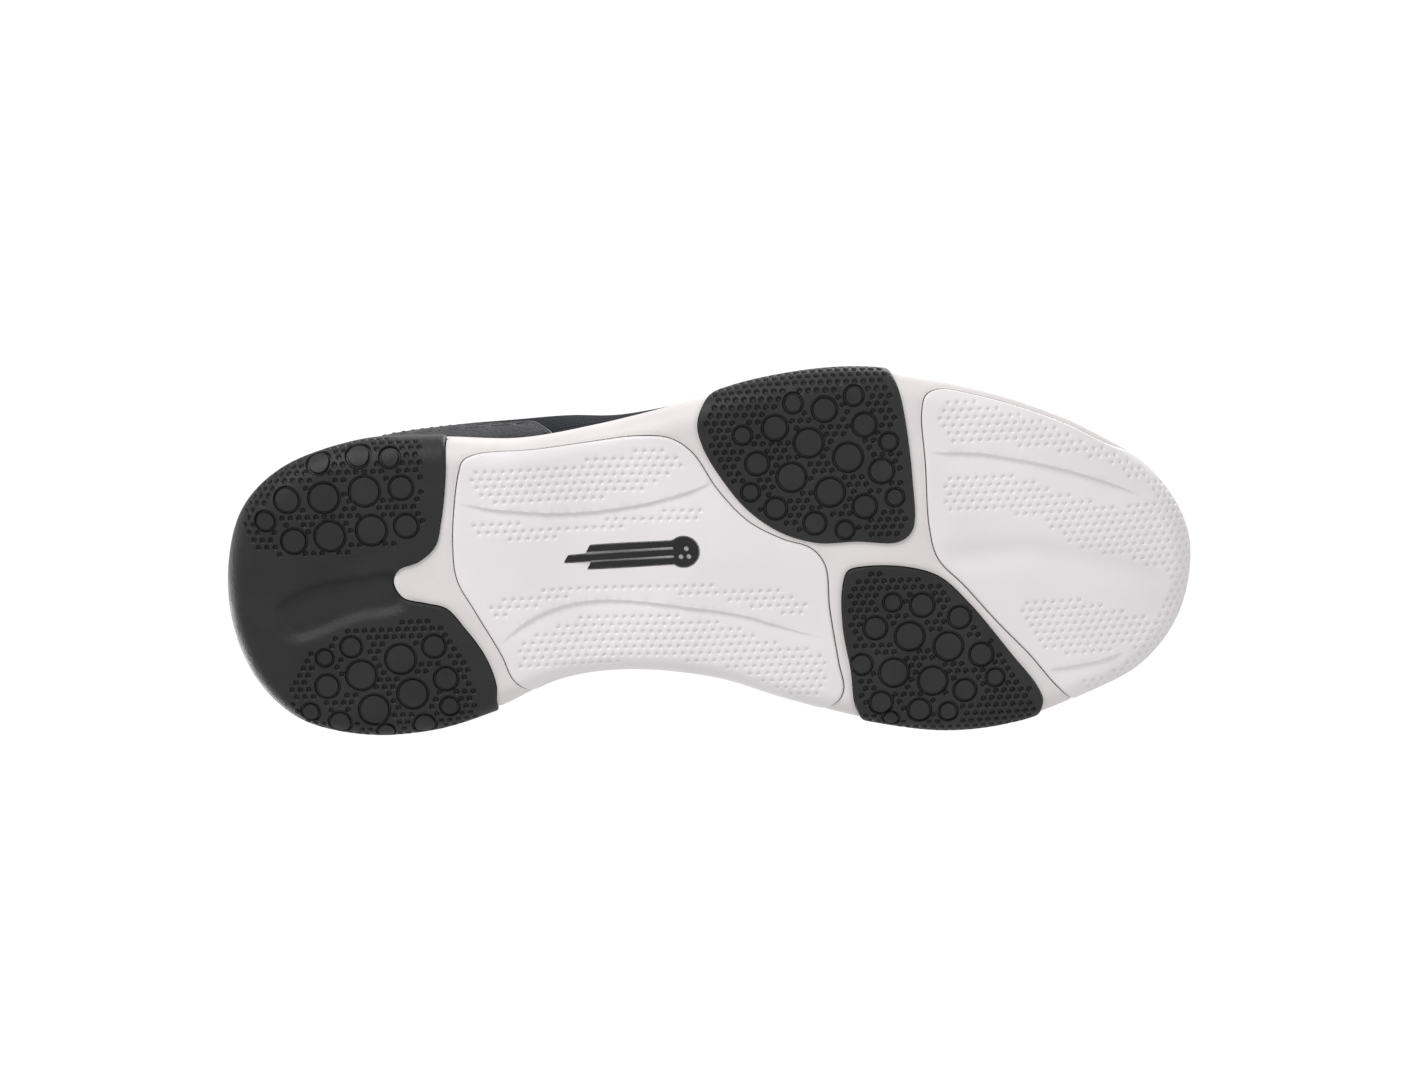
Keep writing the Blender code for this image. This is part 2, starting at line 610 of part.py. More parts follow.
def sole_badge():
    """Ball emblem with three finger holes and three bars trailing behind it, as one thin plate."""
    radius = BADGE_HEIGHT / 2
    centre = BADGE_LENGTH / 2 - radius
    start = math.radians(131)
    near = centre + radius * math.cos(start)
    outline = []
    for low, length in ((-0.75, 30.0), (-0.19, 37.0), (0.37, 30.0)):
        bottom, top = low * radius, (low + 0.38) * radius
        outline += [(near, bottom), (centre - length + 1.5, bottom), (centre - length, top), (near, top)]
    turns = np.linspace(start, -start, 24)[1:-1]
    outline += [(centre + radius * math.cos(a), radius * math.sin(a)) for a in turns]
    outline = np.array(outline)[::-1]
    holes = []
    for x, y in ((-0.9, 1.5), (1.5, 1.6), (0.9, -0.9)):
        turns = np.radians(range(0, 360, 45))
        holes.append(badge_frame([(centre + x + 0.8 * math.cos(a), y + 0.8 * math.sin(a)) for a in turns]))
    proud = PANEL_PROUD - BADGE_RECESS + 0.4
    low = proud - BADGE_THICK
    points, faces = plate(badge_frame(outline), holes, np.empty((0, 2)), sole_place, low, proud)
    return build_object("sole_badge", points, faces, BLACK_RUBBER)


def level_place(height):
    """A mapping that lays plan points on the height curve, lifted upwards."""
    def place(flat, lift):
        return np.column_stack([flat, through(flat[:, 0], height) + lift])
    return place


def shank_plate():
    """Stiff plate sunk into the midsole under the arch."""
    outline = shank_outline()
    points, faces = plate(outline, [], np.empty((0, 2)), level_place(CUP_FLOOR), -0.5 - SHANK_THICK, -0.5)
    return build_object("shank_plate", points, faces, SHANK_GREY)


def inner_loop(inset, count=72):
    """Plan loop inside the inner face of the rim by inset."""
    foot, normal = outline_at(np.linspace(0, len(OUTLINE), count, endpoint=False))
    return foot - normal * (cup_inset(foot[:, 0]) + inset)[:, None]


def inner_sheet(name, inset, low, high, look, pivot=(0, 0, 0)):
    """A sheet that fills the cup inside the lining, such as the lasting board."""
    outline = inner_loop(inset)
    grid = np.array([(x, y) for x in np.arange(-140, 141, 14.0) for y in np.arange(-54, 55, 14.0)])
    grid = clear_of(grid[inside_loop(grid, outline)], [outline], 5)
    points, faces = plate(outline, [], grid, level_place(CUP_FLOOR), low, high)
    return build_object(name, points, faces, look, pivot)


def station_table():
    """Anchors, tops and handles of all thirty stations, in order round the shoe."""
    medial = [HEEL_STATION, *MEDIAL_STATIONS]
    lateral = [*LATERAL_STATIONS]
    medial_toe = [(a, t, *s) for a, t, s in zip(MEDIAL_RIDGE_ANCHORS, RIDGE_TOPS, RIDGE_SHAPES)]
    lateral_toe = [(a, t, *s) for a, t, s in zip(LATERAL_RIDGE_ANCHORS, RIDGE_TOPS, RIDGE_SHAPES)]
    return medial + medial_toe + [TOE_STATION] + lateral_toe[::-1] + lateral[::-1]


STATIONS = station_table()
HEEL_PLACE = outline_index(HEEL_STATION[0])


def station_places():
    """Place of each station's anchor along the outline, falling from the heel round the arch side."""
    places = [(HEEL_PLACE - outline_index(s[0])) % len(OUTLINE) for s in STATIONS]
    places[0] = 0
    return np.array(places, float)


ANCHOR_TRAVEL = station_places()
TOP_POINTS = np.array([s[1] for s in STATIONS], float)
TOP_POINTS[0] = HEEL_STATION[1]
SHAPE_HANDLES = np.array([[*s[2], *s[3]] for s in STATIONS], float)


def round_stations(values, t, lap=0.0):
    """Smoothly reads station values at fractional stations, adding lap for each full turn."""
    values = np.asarray(values, float)
    t = np.asarray(t, float)
    i = np.floor(t).astype(int)
    f = t - i
    if values.ndim == 2:
        f = f[:, None]

    def value(k):
        wrapped = np.floor_divide(k, STATION_COUNT)
        extra = lap * wrapped
        return values[k % STATION_COUNT] + (extra[:, None] if values.ndim == 2 else extra)

    a, b, c, d = value(i - 1), value(i), value(i + 1), value(i + 2)
    start, end = (c - a) / 2, (d - b) / 2
    keep = b * (1 + 2 * f) * (1 - f) ** 2 + c * (3 - 2 * f) * f**2
    return keep + start * f * (1 - f) ** 2 - end * (1 - f) * f**2


def upper_skin(t, v):
    """Points of the outer skin at stations t and height shares v."""
    t = np.asarray(t, float)
    v = np.asarray(v, float)
    travel = round_stations(ANCHOR_TRAVEL, t, len(OUTLINE))
    foot, normal = outline_at(HEEL_PLACE - travel)
    plan = foot - normal * (cup_inset(foot[:, 0]) + CUP_GAP)[:, None]
    feather = np.column_stack([plan, through(foot[:, 0], CUP_FLOOR) + 0.5])
    rise = through(foot[:, 0], RIM_HEIGHT) + 1.0 - feather[:, 2]
    up = np.array([0, 0, 1.0])
    side = np.column_stack([normal, np.zeros(len(t))])
    shape = round_stations(SHAPE_HANDLES, t)
    top = round_stations(TOP_POINTS, t)
    start = feather + up * rise[:, None]
    first = start + up * shape[:, :1] + side * shape[:, 1:2]
    second = top - up * shape[:, 2:3] + side * shape[:, 3:4]
    length = np.linalg.norm(first - start, axis=1) * 0.6 + np.linalg.norm(second - first, axis=1)
    length += np.linalg.norm(top - second, axis=1) * 0.6
    share = rise / (rise + length)
    f = np.clip((v - share) / (1 - share), 0, None)[:, None]
    curve = (1 - f) ** 3 * start + 3 * f * (1 - f) ** 2 * first + 3 * f**2 * (1 - f) * second + f**3 * top
    low = feather + up * (rise * np.clip(v / share, 0, 1))[:, None]
    return np.where((v < share)[:, None], low, curve)


def upper_normal(t, v):
    """Outward unit normals of the skin."""
    v = np.clip(v, 0.0, 0.985)
    along = upper_skin(t + 0.02, v) - upper_skin(t - 0.02, v)
    up = upper_skin(t, v + 0.01) - upper_skin(t, np.clip(v - 0.01, 0, None))
    normal = np.cross(up, along)
    return normal / np.linalg.norm(normal, axis=1, keepdims=True)


def shared_normal(t, v):
    """Skin normals that are the same from both sides along the toe ridge."""
    near = upper_normal(t, v)
    far = upper_normal(STATION_COUNT - t, v)
    ridge = (v > 0.96) & (np.abs(t - TOE_TIP_STATION) < TOE_TIP_STATION - THROAT_STATION + 0.3)
    normal = np.where(ridge[:, None], near + far, near)
    return normal / np.linalg.norm(normal, axis=1, keepdims=True)


def upper_place(flat, lift):
    """Places points of the flattened upper, whose axes are scaled stations and height shares."""
    t, v = flat[:, 0] / UPPER_SCALE[0], flat[:, 1] / UPPER_SCALE[1]
    return upper_skin(t, v) + shared_normal(t, v) * lift[:, None]


def patch(name, corners, lifts, look, gap=UPPER_GAP, holes=(), pitch=UPPER_PITCH):
    """A piece of the upper: an outline in (station, height share) between two lifts of the skin.

    Its edges are pulled in by gap, except on the toe ridge, where the piece runs over to the other side."""
    outline = []
    for a, b in zip(corners, [*corners[1:], corners[0]]):
        length = np.linalg.norm((np.array(b) - a) * UPPER_SCALE)
        outline.append(np.linspace(a, b, max(1, round(length / (pitch * 0.8))), endpoint=False))
    outline = np.concatenate(outline) * UPPER_SCALE
    x, y = outline.T
    ridge = (y > UPPER_SCALE[1] - 1e-6) & (np.abs(x / UPPER_SCALE[0] - TOE_TIP_STATION) < 4.01)
    area = np.sum(x * np.roll(y, -1) - np.roll(x, -1) * y)
    outline = outline - outward_normals(outline) * math.copysign(gap, area)
    outline[ridge, 1] = UPPER_SCALE[1]
    low, high = outline.min(0), outline.max(0)
    across = np.arange(np.floor(low[0] / pitch) * pitch, high[0], pitch)
    grid = np.array([(x, y) for x in across for y in np.arange(0, high[1], pitch * 0.8)])
    grid = grid[inside_loop(grid, outline)]
    grid = clear_of(grid, [outline, *holes], pitch * 0.4)
    points, faces = plate(outline, list(holes), grid, upper_place, *lifts, weld=bool(ridge.any()))
    return build_object(name, points, faces, look)


def overlay_face(flat):
    """Outer lift of an overlay: flush inside the cup of the sole, proud of the knit above it."""
    return OVERLAY_PROUD * np.clip((flat[:, 1] / UPPER_SCALE[1] - RIM_SHARE) / 0.08, 0, 1)


OVERLAY = (SKIN_INNER, overlay_face)


def other_side(corners):
    """The same corners on the lateral side, still in running order."""
    return [(STATION_COUNT - t, v) for t, v in reversed(corners)]


def shell_of_upper():
    """Outer pieces of the upper, edge to edge, the leather ones standing proud of the knit."""
    base = (9.6, 0.0)
    notch = (9.55, 0.1)
    cap = [base, (STATION_COUNT - base[0], 0), *reversed(TOE_CAP_TOP)]
    patch("toe_cap", cap, OVERLAY, LEATHER_GREY)
    ridge = [(THROAT_STATION, 1.0), (TOE_TIP_STATION, 1.0), (STATION_COUNT - THROAT_STATION, 1.0)]
    rise = [*VAMP_BREAK, (10.95, 0.97)]
    vamp = [*TOE_CAP_TOP, *[(STATION_COUNT - t, v) for t, v in rise], *reversed(ridge), *reversed(rise)]
    patch("vamp", vamp, SKIN, MESH_BLACK)
    counter = [*COUNTER_FRONT, *[(-t, v) for t, v in reversed(COUNTER_FRONT)]]
    patch("heel_counter_cover", counter, OVERLAY, LEATHER_GREY)
    tab = [(-TAB_HALF, COUNTER_TOP), (TAB_HALF, COUNTER_TOP), (TAB_HALF, 1), (-TAB_HALF, 1)]
    patch("heel_tab", tab, OVERLAY, LEATHER_GREY)
    quarter = [COUNTER_FRONT[0], base, notch, TOE_CAP_TOP[0], *VAMP_BREAK, *EYESTAY_BACK,
               (TAB_HALF, 1), (TAB_HALF, COUNTER_TOP), *reversed(COUNTER_FRONT[1:])]
    eyestay = [EYESTAY_BACK[0], VAMP_BREAK[1], (10.93, 0.99), EYESTAY_BACK[1]]
    for suffix, turn in (("medial", list), ("lateral", other_side)):
        patch(f"quarter_{suffix}", turn(quarter), SKIN, MESH_BLACK)
        stations = EYELET_STATIONS if suffix == "medial" else [STATION_COUNT - t for t in EYELET_STATIONS]
        holes = [skin_circle(t, EYELET_OUTER + 0.1) for t in stations]
        patch(f"eyestay_{suffix}", turn(eyestay), OVERLAY, LEATHER_GREY, holes=holes, pitch=7.0)


def skin_slopes(t, v):
    """How the skin moves per station and per height share at one place, as two columns."""
    t, v = np.array([t]), np.array([v])
    along = (upper_skin(t + 0.05, v) - upper_skin(t - 0.05, v))[0] / 0.1
    up = (upper_skin(t, v + 0.02) - upper_skin(t, v - 0.02))[0] / 0.04
    return np.column_stack([along, up])


def eyelet_share(t):
    """Height share of the eyelet at station t, set back from the throat edge."""
    return 1 - EYELET_SETBACK / np.linalg.norm(skin_slopes(t, 0.93)[:, 1])


def skin_circle(t, radius, count=12):
    """A true circle round the eyelet at station t, as flattened points."""
    v = eyelet_share(t)
    slopes = skin_slopes(t, v)
    first = slopes[:, 0] / np.linalg.norm(slopes[:, 0])
    second = np.cross(upper_normal(np.array([t]), np.array([v]))[0], first)
    turns = np.arange(count) * 2 * math.pi / count
    rim = radius * (np.cos(turns)[:, None] * first + np.sin(turns)[:, None] * second)
    return (np.array([t, v]) + rim @ np.linalg.pinv(slopes).T) * UPPER_SCALE


def eyelet_frame(t):
    """Centre of the eyelet on the skin and its outward axis."""
    at, share = np.array([t]), np.array([eyelet_share(t)])
    return upper_skin(at, share)[0], upper_normal(at, share)[0]


def loft_faces(rings, sides, closed=False):
    """Faces that join rings of sides points one after another, back to the first if closed."""
    faces = []
    for k in range(rings if closed else rings - 1):
        here, there = k * sides, (k + 1) % rings * sides
        for i in range(sides):
            faces.append((here + i, here + (i + 1) % sides, there + (i + 1) % sides, there + i))
    return faces


def eyelets():
    """Turned eyelet rings: a barrel through the eyestay under a flange."""
    profile = [(EYELET_INNER, -1.9), (EYELET_OUTER - 0.65, -1.9), (EYELET_OUTER - 0.65, 1.75),
               (EYELET_OUTER + 0.5, 1.75), (EYELET_OUTER + 0.2, 1.75 + EYELET_FLANGE),
               (EYELET_INNER, 1.8 + EYELET_FLANGE)]
    sides = 12
    for row, medial in enumerate(EYELET_STATIONS, 1):
        for suffix, t in (("medial", medial), ("lateral", STATION_COUNT - medial)):
            centre, axis = eyelet_frame(t)
            across = np.cross(axis, (0, 0, 1.0))
            across /= np.linalg.norm(across)
            beside = np.cross(axis, across)
            points = []
            for k in range(sides):
                turn = 2 * math.pi * k / sides
                arm = across * math.cos(turn) + beside * math.sin(turn)
                points += [centre + arm * r + axis * h for r, h in profile]
            n = len(profile)
            faces = loft_faces(sides, n, closed=True)
            build_object(f"eyelet_{suffix}_{row}", points, faces, METAL_DARK)


def lining_pieces():
    """Stiffener and toe puff between the layers, and the linings inside them."""
    stiff = [(-3.2, 0.05), (3.2, 0.05), (2.8, 0.4), (1.5, 0.54), (-1.5, 0.54), (-2.8, 0.4)]
    patch("heel_counter_stiffener", stiff, STIFFENER, SHANK_GREY, gap=0)
    puff = [(12.2, 0.06), (17.8, 0.06), (17.3, 0.45), (16, 0.62), (14, 0.62), (12.7, 0.45)]
    patch("toe_puff", puff, (-3.4, -2.4), SHANK_GREY, gap=0)
    front = [(9.0, 0.012), (21.0, 0.012), (20.5, 0.5), (19.5, 0.58), (18.9, 0.8), (18.5, 1), (15, 1),
             (11.5, 1), (11.1, 0.8), (10.5, 0.58), (9.5, 0.5)]
    patch("vamp_lining", front, LINING, LINING_GREY)
    back = [(-9.0, 0.012), (9.0, 0.012), (9.5, 0.6), (6.4, 0.56), (5.4, 0.54), (-5.4, 0.54), (-6.4, 0.56),
            (-9.5, 0.6)]
    patch("heel_lining", back, LINING, LINING_GREY)


def foam_depth(flat):
    """Lift of the foot side of the collar foam: thick in the middle of its height, thin at its edges."""
    share = (flat[:, 1] / UPPER_SCALE[1] - 0.6) / 0.4
    end = np.clip((5.5 - np.abs(flat[:, 0] / UPPER_SCALE[0])) / 1.5, 0, 1)
    return -3.2 - COLLAR_FOAM_DEPTH * np.sin(np.pi * np.clip(share, 0, 1)) * end


def collar():
    """Foam roll round the ankle and the lining over its foot side."""
    pad = [(-5.7, 0.62), (5.7, 0.62), (5.6, 0.97), (-5.6, 0.97)]
    patch("collar_pad", pad, (foam_depth, -2.1), LINING_GREY, gap=0)
    cover = [(-5.5, 0.575), (5.5, 0.575), (5.4, 0.995), (-5.4, 0.995)]

    def face(flat):
        return foam_depth(flat) - 1.3

    def back(flat):
        return foam_depth(flat) - 1.3 - COLLAR_LINING_THICK
    patch("collar_lining", cover, (back, face), LINING_GREY, gap=0)


def tongue_sections(count):
    """Centre, lean and size of the tongue at evenly spaced sections."""
    line = np.array(TONGUE_LINE, float)
    along = np.concatenate([[0], np.cumsum(np.linalg.norm(np.diff(line, axis=0), axis=1))])
    at = np.linspace(0, along[-1], count)
    x = through(at, list(zip(along, line[:, 0])))
    z = through(at, list(zip(along, line[:, 1])))
    dx, dz = np.gradient(x, at), np.gradient(z, at)
    size = np.hypot(dx, dz)
    normal = np.column_stack([dz / size, -dx / size])
    listed = (TONGUE_HALF_WIDTH, TONGUE_THICK, TONGUE_ARCH)
    return x, z, normal, *[through(at, list(zip(along, values))) for values in listed]


def tongue_point(section, share, depth):
    """A point of the tongue at a share of its half width and a depth under its outer surface."""
    x, z, normal, half, arch = section
    y = half * share
    drop = arch - math.sqrt(arch**2 - y**2) if abs(y) < arch * 0.95 else arch
    tilt = y / arch
    level = drop + depth * math.sqrt(max(1 - tilt**2, 0.05))
    return (x - normal[0] * level, TONGUE_CENTRE_Y + y - depth * tilt, z - normal[1] * level)


def tongue():
    """Padded tongue, with its origin where it is stitched under the throat of the vamp."""
    x, z, normal, half, thick, arch = tongue_sections(15)
    shares = np.linspace(-1, 1, 9)
    points = []
    for k in range(len(x)):
        section = (x[k], z[k], normal[k], half[k], arch[k])
        points += [tongue_point(section, s, 0) for s in shares]
        points += [tongue_point(section, s, thick[k]) for s in shares[::-1]]
    ring = 2 * len(shares)
    faces = loft_faces(len(x), ring)
    end = (len(x) - 1) * ring
    for i in range(len(shares) - 1):
        faces.append((i, i + 1, ring - 2 - i, ring - 1 - i))
        faces.append((end + i, end + i + 1, end + ring - 2 - i, end + ring - 1 - i))
    return build_object("tongue", points, faces, MESH_BLACK, TONGUE_FOOT)


def open_curve(points, step):
    """A smooth open curve in space through the points, sampled about every step."""
    p = np.array(points, float)
    p = np.vstack([2 * p[0] - p[1], p, 2 * p[-1] - p[-2]])
    knot = np.sqrt(np.linalg.norm(np.diff(p, axis=0), axis=1))
    samples = []
    for i in range(1, len(p) - 2):
        a, b, c = knot[i - 1], knot[i], knot[i + 1]
        start = (p[i] - p[i - 1]) / a - (p[i + 1] - p[i - 1]) / (a + b) + (p[i + 1] - p[i]) / b
        end = (p[i + 1] - p[i]) / b - (p[i + 2] - p[i]) / (b + c) + (p[i + 2] - p[i + 1]) / c
        f = np.linspace(0, 1, max(1, round(b * b / step)) + 1)[:-1, None]
        samples.append(
            p[i] * (1 + 2 * f) * (1 - f) ** 2
            + p[i + 1] * (3 - 2 * f) * f**2
            + b * start * f * (1 - f) ** 2
            - b * end * (1 - f) * f**2
        )
    return np.vstack([*samples, p[-2:-1]])


def lace_crossing(row):
    """Points of one lace row, up through the medial eyelet, over the tongue and down the lateral one."""
    medial, medial_axis = eyelet_frame(EYELET_STATIONS[row])
    lateral, lateral_axis = eyelet_frame(STATION_COUNT - EYELET_STATIONS[row])
    middle = (medial + lateral) / 2
    line = np.array(TONGUE_LINE)[::-1]
    middle[2] = through(middle[0], [tuple(p) for p in line]) + LACE_RADIUS + 1.2
    half, other = [], []
    for centre, axis, made in ((medial, medial_axis, half), (lateral, lateral_axis, other)):
        inwards = middle - centre
        inwards -= axis * (inwards @ axis)
        inwards /= np.linalg.norm(inwards)
        for height, reach in LACE_BEND:
            made.append(centre + axis * height + inwards * reach)
    other.reverse()
    return half + [middle] + other


def lace_route():
    """The whole lace: straight bars over the tongue, joined under the eyestays, both ends tucked in."""
    route = []
    for row in range(len(EYELET_STATIONS) - 1, -1, -1):
        crossing = lace_crossing(row)
        turned = crossing if (len(EYELET_STATIONS) - row) % 2 else crossing[::-1]
        if route:
            below = eyelet_below(row, route[-1][1] > TONGUE_CENTRE_Y)
            route += below
        route += turned
    return route


def eyelet_below(row, medial):
    """Two points of the lace under the eyestay, between the eyelets of this row and the last."""
    made = []
    for station in (EYELET_STATIONS[row + 1] - LACE_NUDGE, EYELET_STATIONS[row] + LACE_NUDGE):
        centre, axis = eyelet_frame(station if medial else STATION_COUNT - station)
        made.append(centre - axis * LACE_UNDER)
    return made


def lace():
    """The lace, one round cord held all the way by its eyelets."""
    curve = bpy.data.curves.new("lace", "CURVE")
    curve.dimensions = "3D"
    curve.bevel_depth = LACE_RADIUS * MM
    curve.bevel_resolution = 2
    curve.use_fill_caps = True
    points = open_curve(lace_route(), 2.4)
    spline = curve.splines.new("POLY")
    spline.points.add(len(points) - 1)
    for place, point in zip(spline.points, points):
        place.co = (*(point * MM), 1)
    curve.materials.append(material("lace", *LACE_BLACK))
    made = bpy.data.objects.new("lace", curve)
    bpy.context.collection.objects.link(made)
    return made


def pull_tab():
    """Webbing loop that stands on the back of the topline and bends over at its stitched foot."""
    sides, half = 24, PULL_TAB_WIDTH / 2
    points = []
    for k in range(sides):
        turn = 2 * math.pi * k / sides
        for inset, y in ((0, -half), (0, half), (PULL_TAB_STRIP, half), (PULL_TAB_STRIP, -half)):
            out = (PULL_TAB_RADII[0] - inset) * math.sin(turn)
            up = (PULL_TAB_RADII[1] - inset) * math.cos(turn)
            points.append((PULL_TAB_CENTRE[0] + out, PULL_TAB_CENTRE[1] + y, PULL_TAB_CENTRE[2] + up))
    foot = PULL_TAB_CENTRE[2] - PULL_TAB_RADII[1]
    faces = loft_faces(sides, 4, closed=True)
    return build_object("pull_tab", points, faces, LACE_BLACK, (*PULL_TAB_CENTRE[:2], foot))


def tongue_label():
    """Blank woven label standing just off the top of the tongue."""
    x, z, normal, half, thick, arch = tongue_sections(41)
    first, last, shares = 30, 38, np.linspace(-0.5, 0.5, 5)
    points = []
    for k in range(first, last + 1):
        section = (x[k], z[k], normal[k], half[k], arch[k])
        points += [tongue_point(section, s, -1.2) for s in shares]
        points += [tongue_point(section, s, -0.5) for s in shares[::-1]]
    ring = 2 * len(shares)
    rows = last - first
    faces = loft_faces(rows + 1, ring)
    for base in (0, rows * ring):
        for i in range(len(shares) - 1):
            faces.append((base + i, base + i + 1, base + ring - 2 - i, base + ring - 1 - i))
    return build_object("tongue_label", points, faces, LINING_GREY, TONGUE_FOOT)


def clear_scene():
    """Removes the startup objects."""
    for existing in list(bpy.data.objects):
        bpy.data.objects.remove(existing, do_unlink=True)


def main():
    """Builds every sub-part."""
    clear_scene()
    outlines = piece_outlines()
    badge = badge_recess()
    midsole(outlines)
    for name, outline in outlines.items():
        outsole_piece(name, outline, badge)
    sole_badge()
    shank_plate()
    inner_sheet("lasting_board", CUP_GAP - LINING[0] + 0.7, 0.4, 0.4 + BOARD_THICK, BOARD_TAN)
    bed = 0.8 + BOARD_THICK
    inset = CUP_GAP - LINING[0] + 0.9
    inner_sheet("footbed", inset, bed, bed + FOOTBED_THICK, FOOTBED_BLACK, FOOTBED_HINGE)
    shell_of_upper()
    eyelets()
    lining_pieces()
    collar()
    tongue()
    tongue_label()
    lace()
    pull_tab()


main()
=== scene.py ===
"""Looks of the bowling shoe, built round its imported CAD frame.

The plan and upper mappings are those of the CAD source, in millimetres: +X toe, +Y arch side, +Z up.
"""

import math

import bmesh
import bpy
import numpy as np
from mathutils import Matrix, Vector, kdtree
from mathutils.geometry import delaunay_2d_cdt


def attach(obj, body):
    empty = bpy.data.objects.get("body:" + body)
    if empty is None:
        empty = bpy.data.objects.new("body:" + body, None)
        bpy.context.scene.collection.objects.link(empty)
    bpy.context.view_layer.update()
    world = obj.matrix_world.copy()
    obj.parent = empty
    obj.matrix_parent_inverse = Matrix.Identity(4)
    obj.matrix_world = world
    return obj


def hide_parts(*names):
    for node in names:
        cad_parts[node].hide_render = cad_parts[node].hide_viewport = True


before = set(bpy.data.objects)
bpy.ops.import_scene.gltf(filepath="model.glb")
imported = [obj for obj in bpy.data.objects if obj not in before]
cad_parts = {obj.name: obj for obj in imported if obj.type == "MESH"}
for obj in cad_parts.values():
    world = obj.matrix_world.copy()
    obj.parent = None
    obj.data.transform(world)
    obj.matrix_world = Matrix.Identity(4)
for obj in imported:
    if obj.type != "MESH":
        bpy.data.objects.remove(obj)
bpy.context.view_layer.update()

MM = 0.001

# Widest plan outline of the sole, from the toe tip round the arch side to the heel and back.
SOLE_OUTLINE = [
    (150, 6), (146, 25), (134, 39.5), (114, 48.5), (94, 54.7), (72, 56.5), (48, 52.8), (22, 45.2),
    (0, 37.6), (-24, 34.6), (-48, 36.8), (-68, 45), (-88, 50.6), (-110, 51.2), (-130, 45), (-143, 31),
    (-149, 8), (-144, -18), (-131, -31.5), (-108, -39.2), (-84, -40), (-58, -38.8), (-34, -42),
    (-8, -48), (18, -54.6), (44, -57), (70, -53.8), (96, -46.3), (120, -34.8), (138, -20.5),
    (147.5, -6),
]
OUTLINE_STEP = 0.8
OUTLINE_COUNT = 1200
EDGE_RADIUS = 7.0
PAD_PROUD = 1.0
PAD_THICK = 2.6
PANEL_PROUD = 0.3
PANEL_THICK = 1.9
SEAT_GAP = 0.8
SEAM_GAP = 0.35

# Heights along the shoe as (x, z).
RIM_HEIGHT = [(-150, 34), (-110, 30.5), (-60, 26), (0, 23), (60, 21), (110, 23.5), (150, 32)]
CUP_FLOOR = [(-150, 25.5), (-110, 23.5), (-60, 20.5), (0, 16), (50, 13), (90, 15), (120, 19.5), (150, 26)]
RIM_THICK = 3.2
CUP_GAP = 0.9

# Seams of the outsole pieces on the flat of the sole.  Where a piece wraps over the edge, its
# outline goes on as a skirt: (start, end, reach) along the sole outline.
HEEL_PAD_FRONT = [
    (-80, -38), (-80.5, -28), (-82.3, -16), (-84.5, -8), (-89.7, -3.4), (-96, -1), (-97.8, 3),
    (-95.1, 8.1), (-88, 10.2), (-82, 12), (-76.7, 18.3), (-71, 27), (-67.9, 36), (-67.8, 43),
]
HEEL_PAD_SKIRT = ((-70, 46), (-82, -40), 18)
MIDFOOT_FRONT = [
    (-76, -30), (-74.5, -34), (-70, -36.2), (-51, -37), (-36, -38.3), (-21, -39.7), (-11, -38.6),
    (-4.5, -34), (3, -22), (12, -12), (22, -6.3), (31, -2.9), (35, 2.5), (36, 16), (38.3, 33),
    (39.6, 42), (36.5, 47),
]
MIDFOOT_SKIRT = ((28, 47.5), (-52, 38), 6)
MIDFOOT_BACK = [(-61.5, 36), (-65.5, 27), (-73, 13), (-78, 3), (-78.8, -8), (-77.5, -22)]
LATERAL_PAD_FRONT = [
    (-2.2, -44), (-1, -36), (5, -25), (12, -16), (22, -8.6), (33, -5), (45, -5), (58, -4.5),
    (62, -8), (62.2, -24), (60, -45), (58, -54),
]
LATERAL_PAD_SKIRT = ((53, -56), (8, -52.5), 8)
MEDIAL_PAD_FRONT = [
    (40.4, 10), (42.2, 4.6), (47, 3.4), (60, 4), (70, 7.3), (79, 16), (92, 33), (100, 44), (101.5, 49.5),
]
MEDIAL_PAD_SKIRT = ((96, 54), (50, 53), 7)
MEDIAL_PAD_BACK = [(43.6, 48), (42.4, 36), (40.3, 22)]
TOE_PANEL_SIDE = [(66, -44), (67.5, -49.5), (72, -51.4), (82, -49.4), (96, -45), (111, -38.8), (126, -31)]
TOE_PANEL_SKIRT = ((140, -18), (118, 47), 13)
TOE_PANEL_BACK = [(106.5, 44), (97.8, 33.1), (88, 22.3), (78.1, 10.5), (70, 1.5), (67.6, -8), (66.8, -28)]

# Emblem on the waist of the sole: a ball with three finger holes and three bars behind it.
BADGE_CENTRE = (-27.0, -2.7)
BADGE_LENGTH = 47.0
BADGE_HEIGHT = 9.4
BADGE_TILT = math.radians(-2.2)

FOOTBED_THICK = 4.0
FOOTBED_BASE = 2.2

# Radial layers of the upper, as distances from its outer skin.
SKIN_INNER = -1.4
OVERLAY_PROUD = 0.7
LINING = (-4.9, -4.1)
COLLAR_FOAM_DEPTH = 6.0

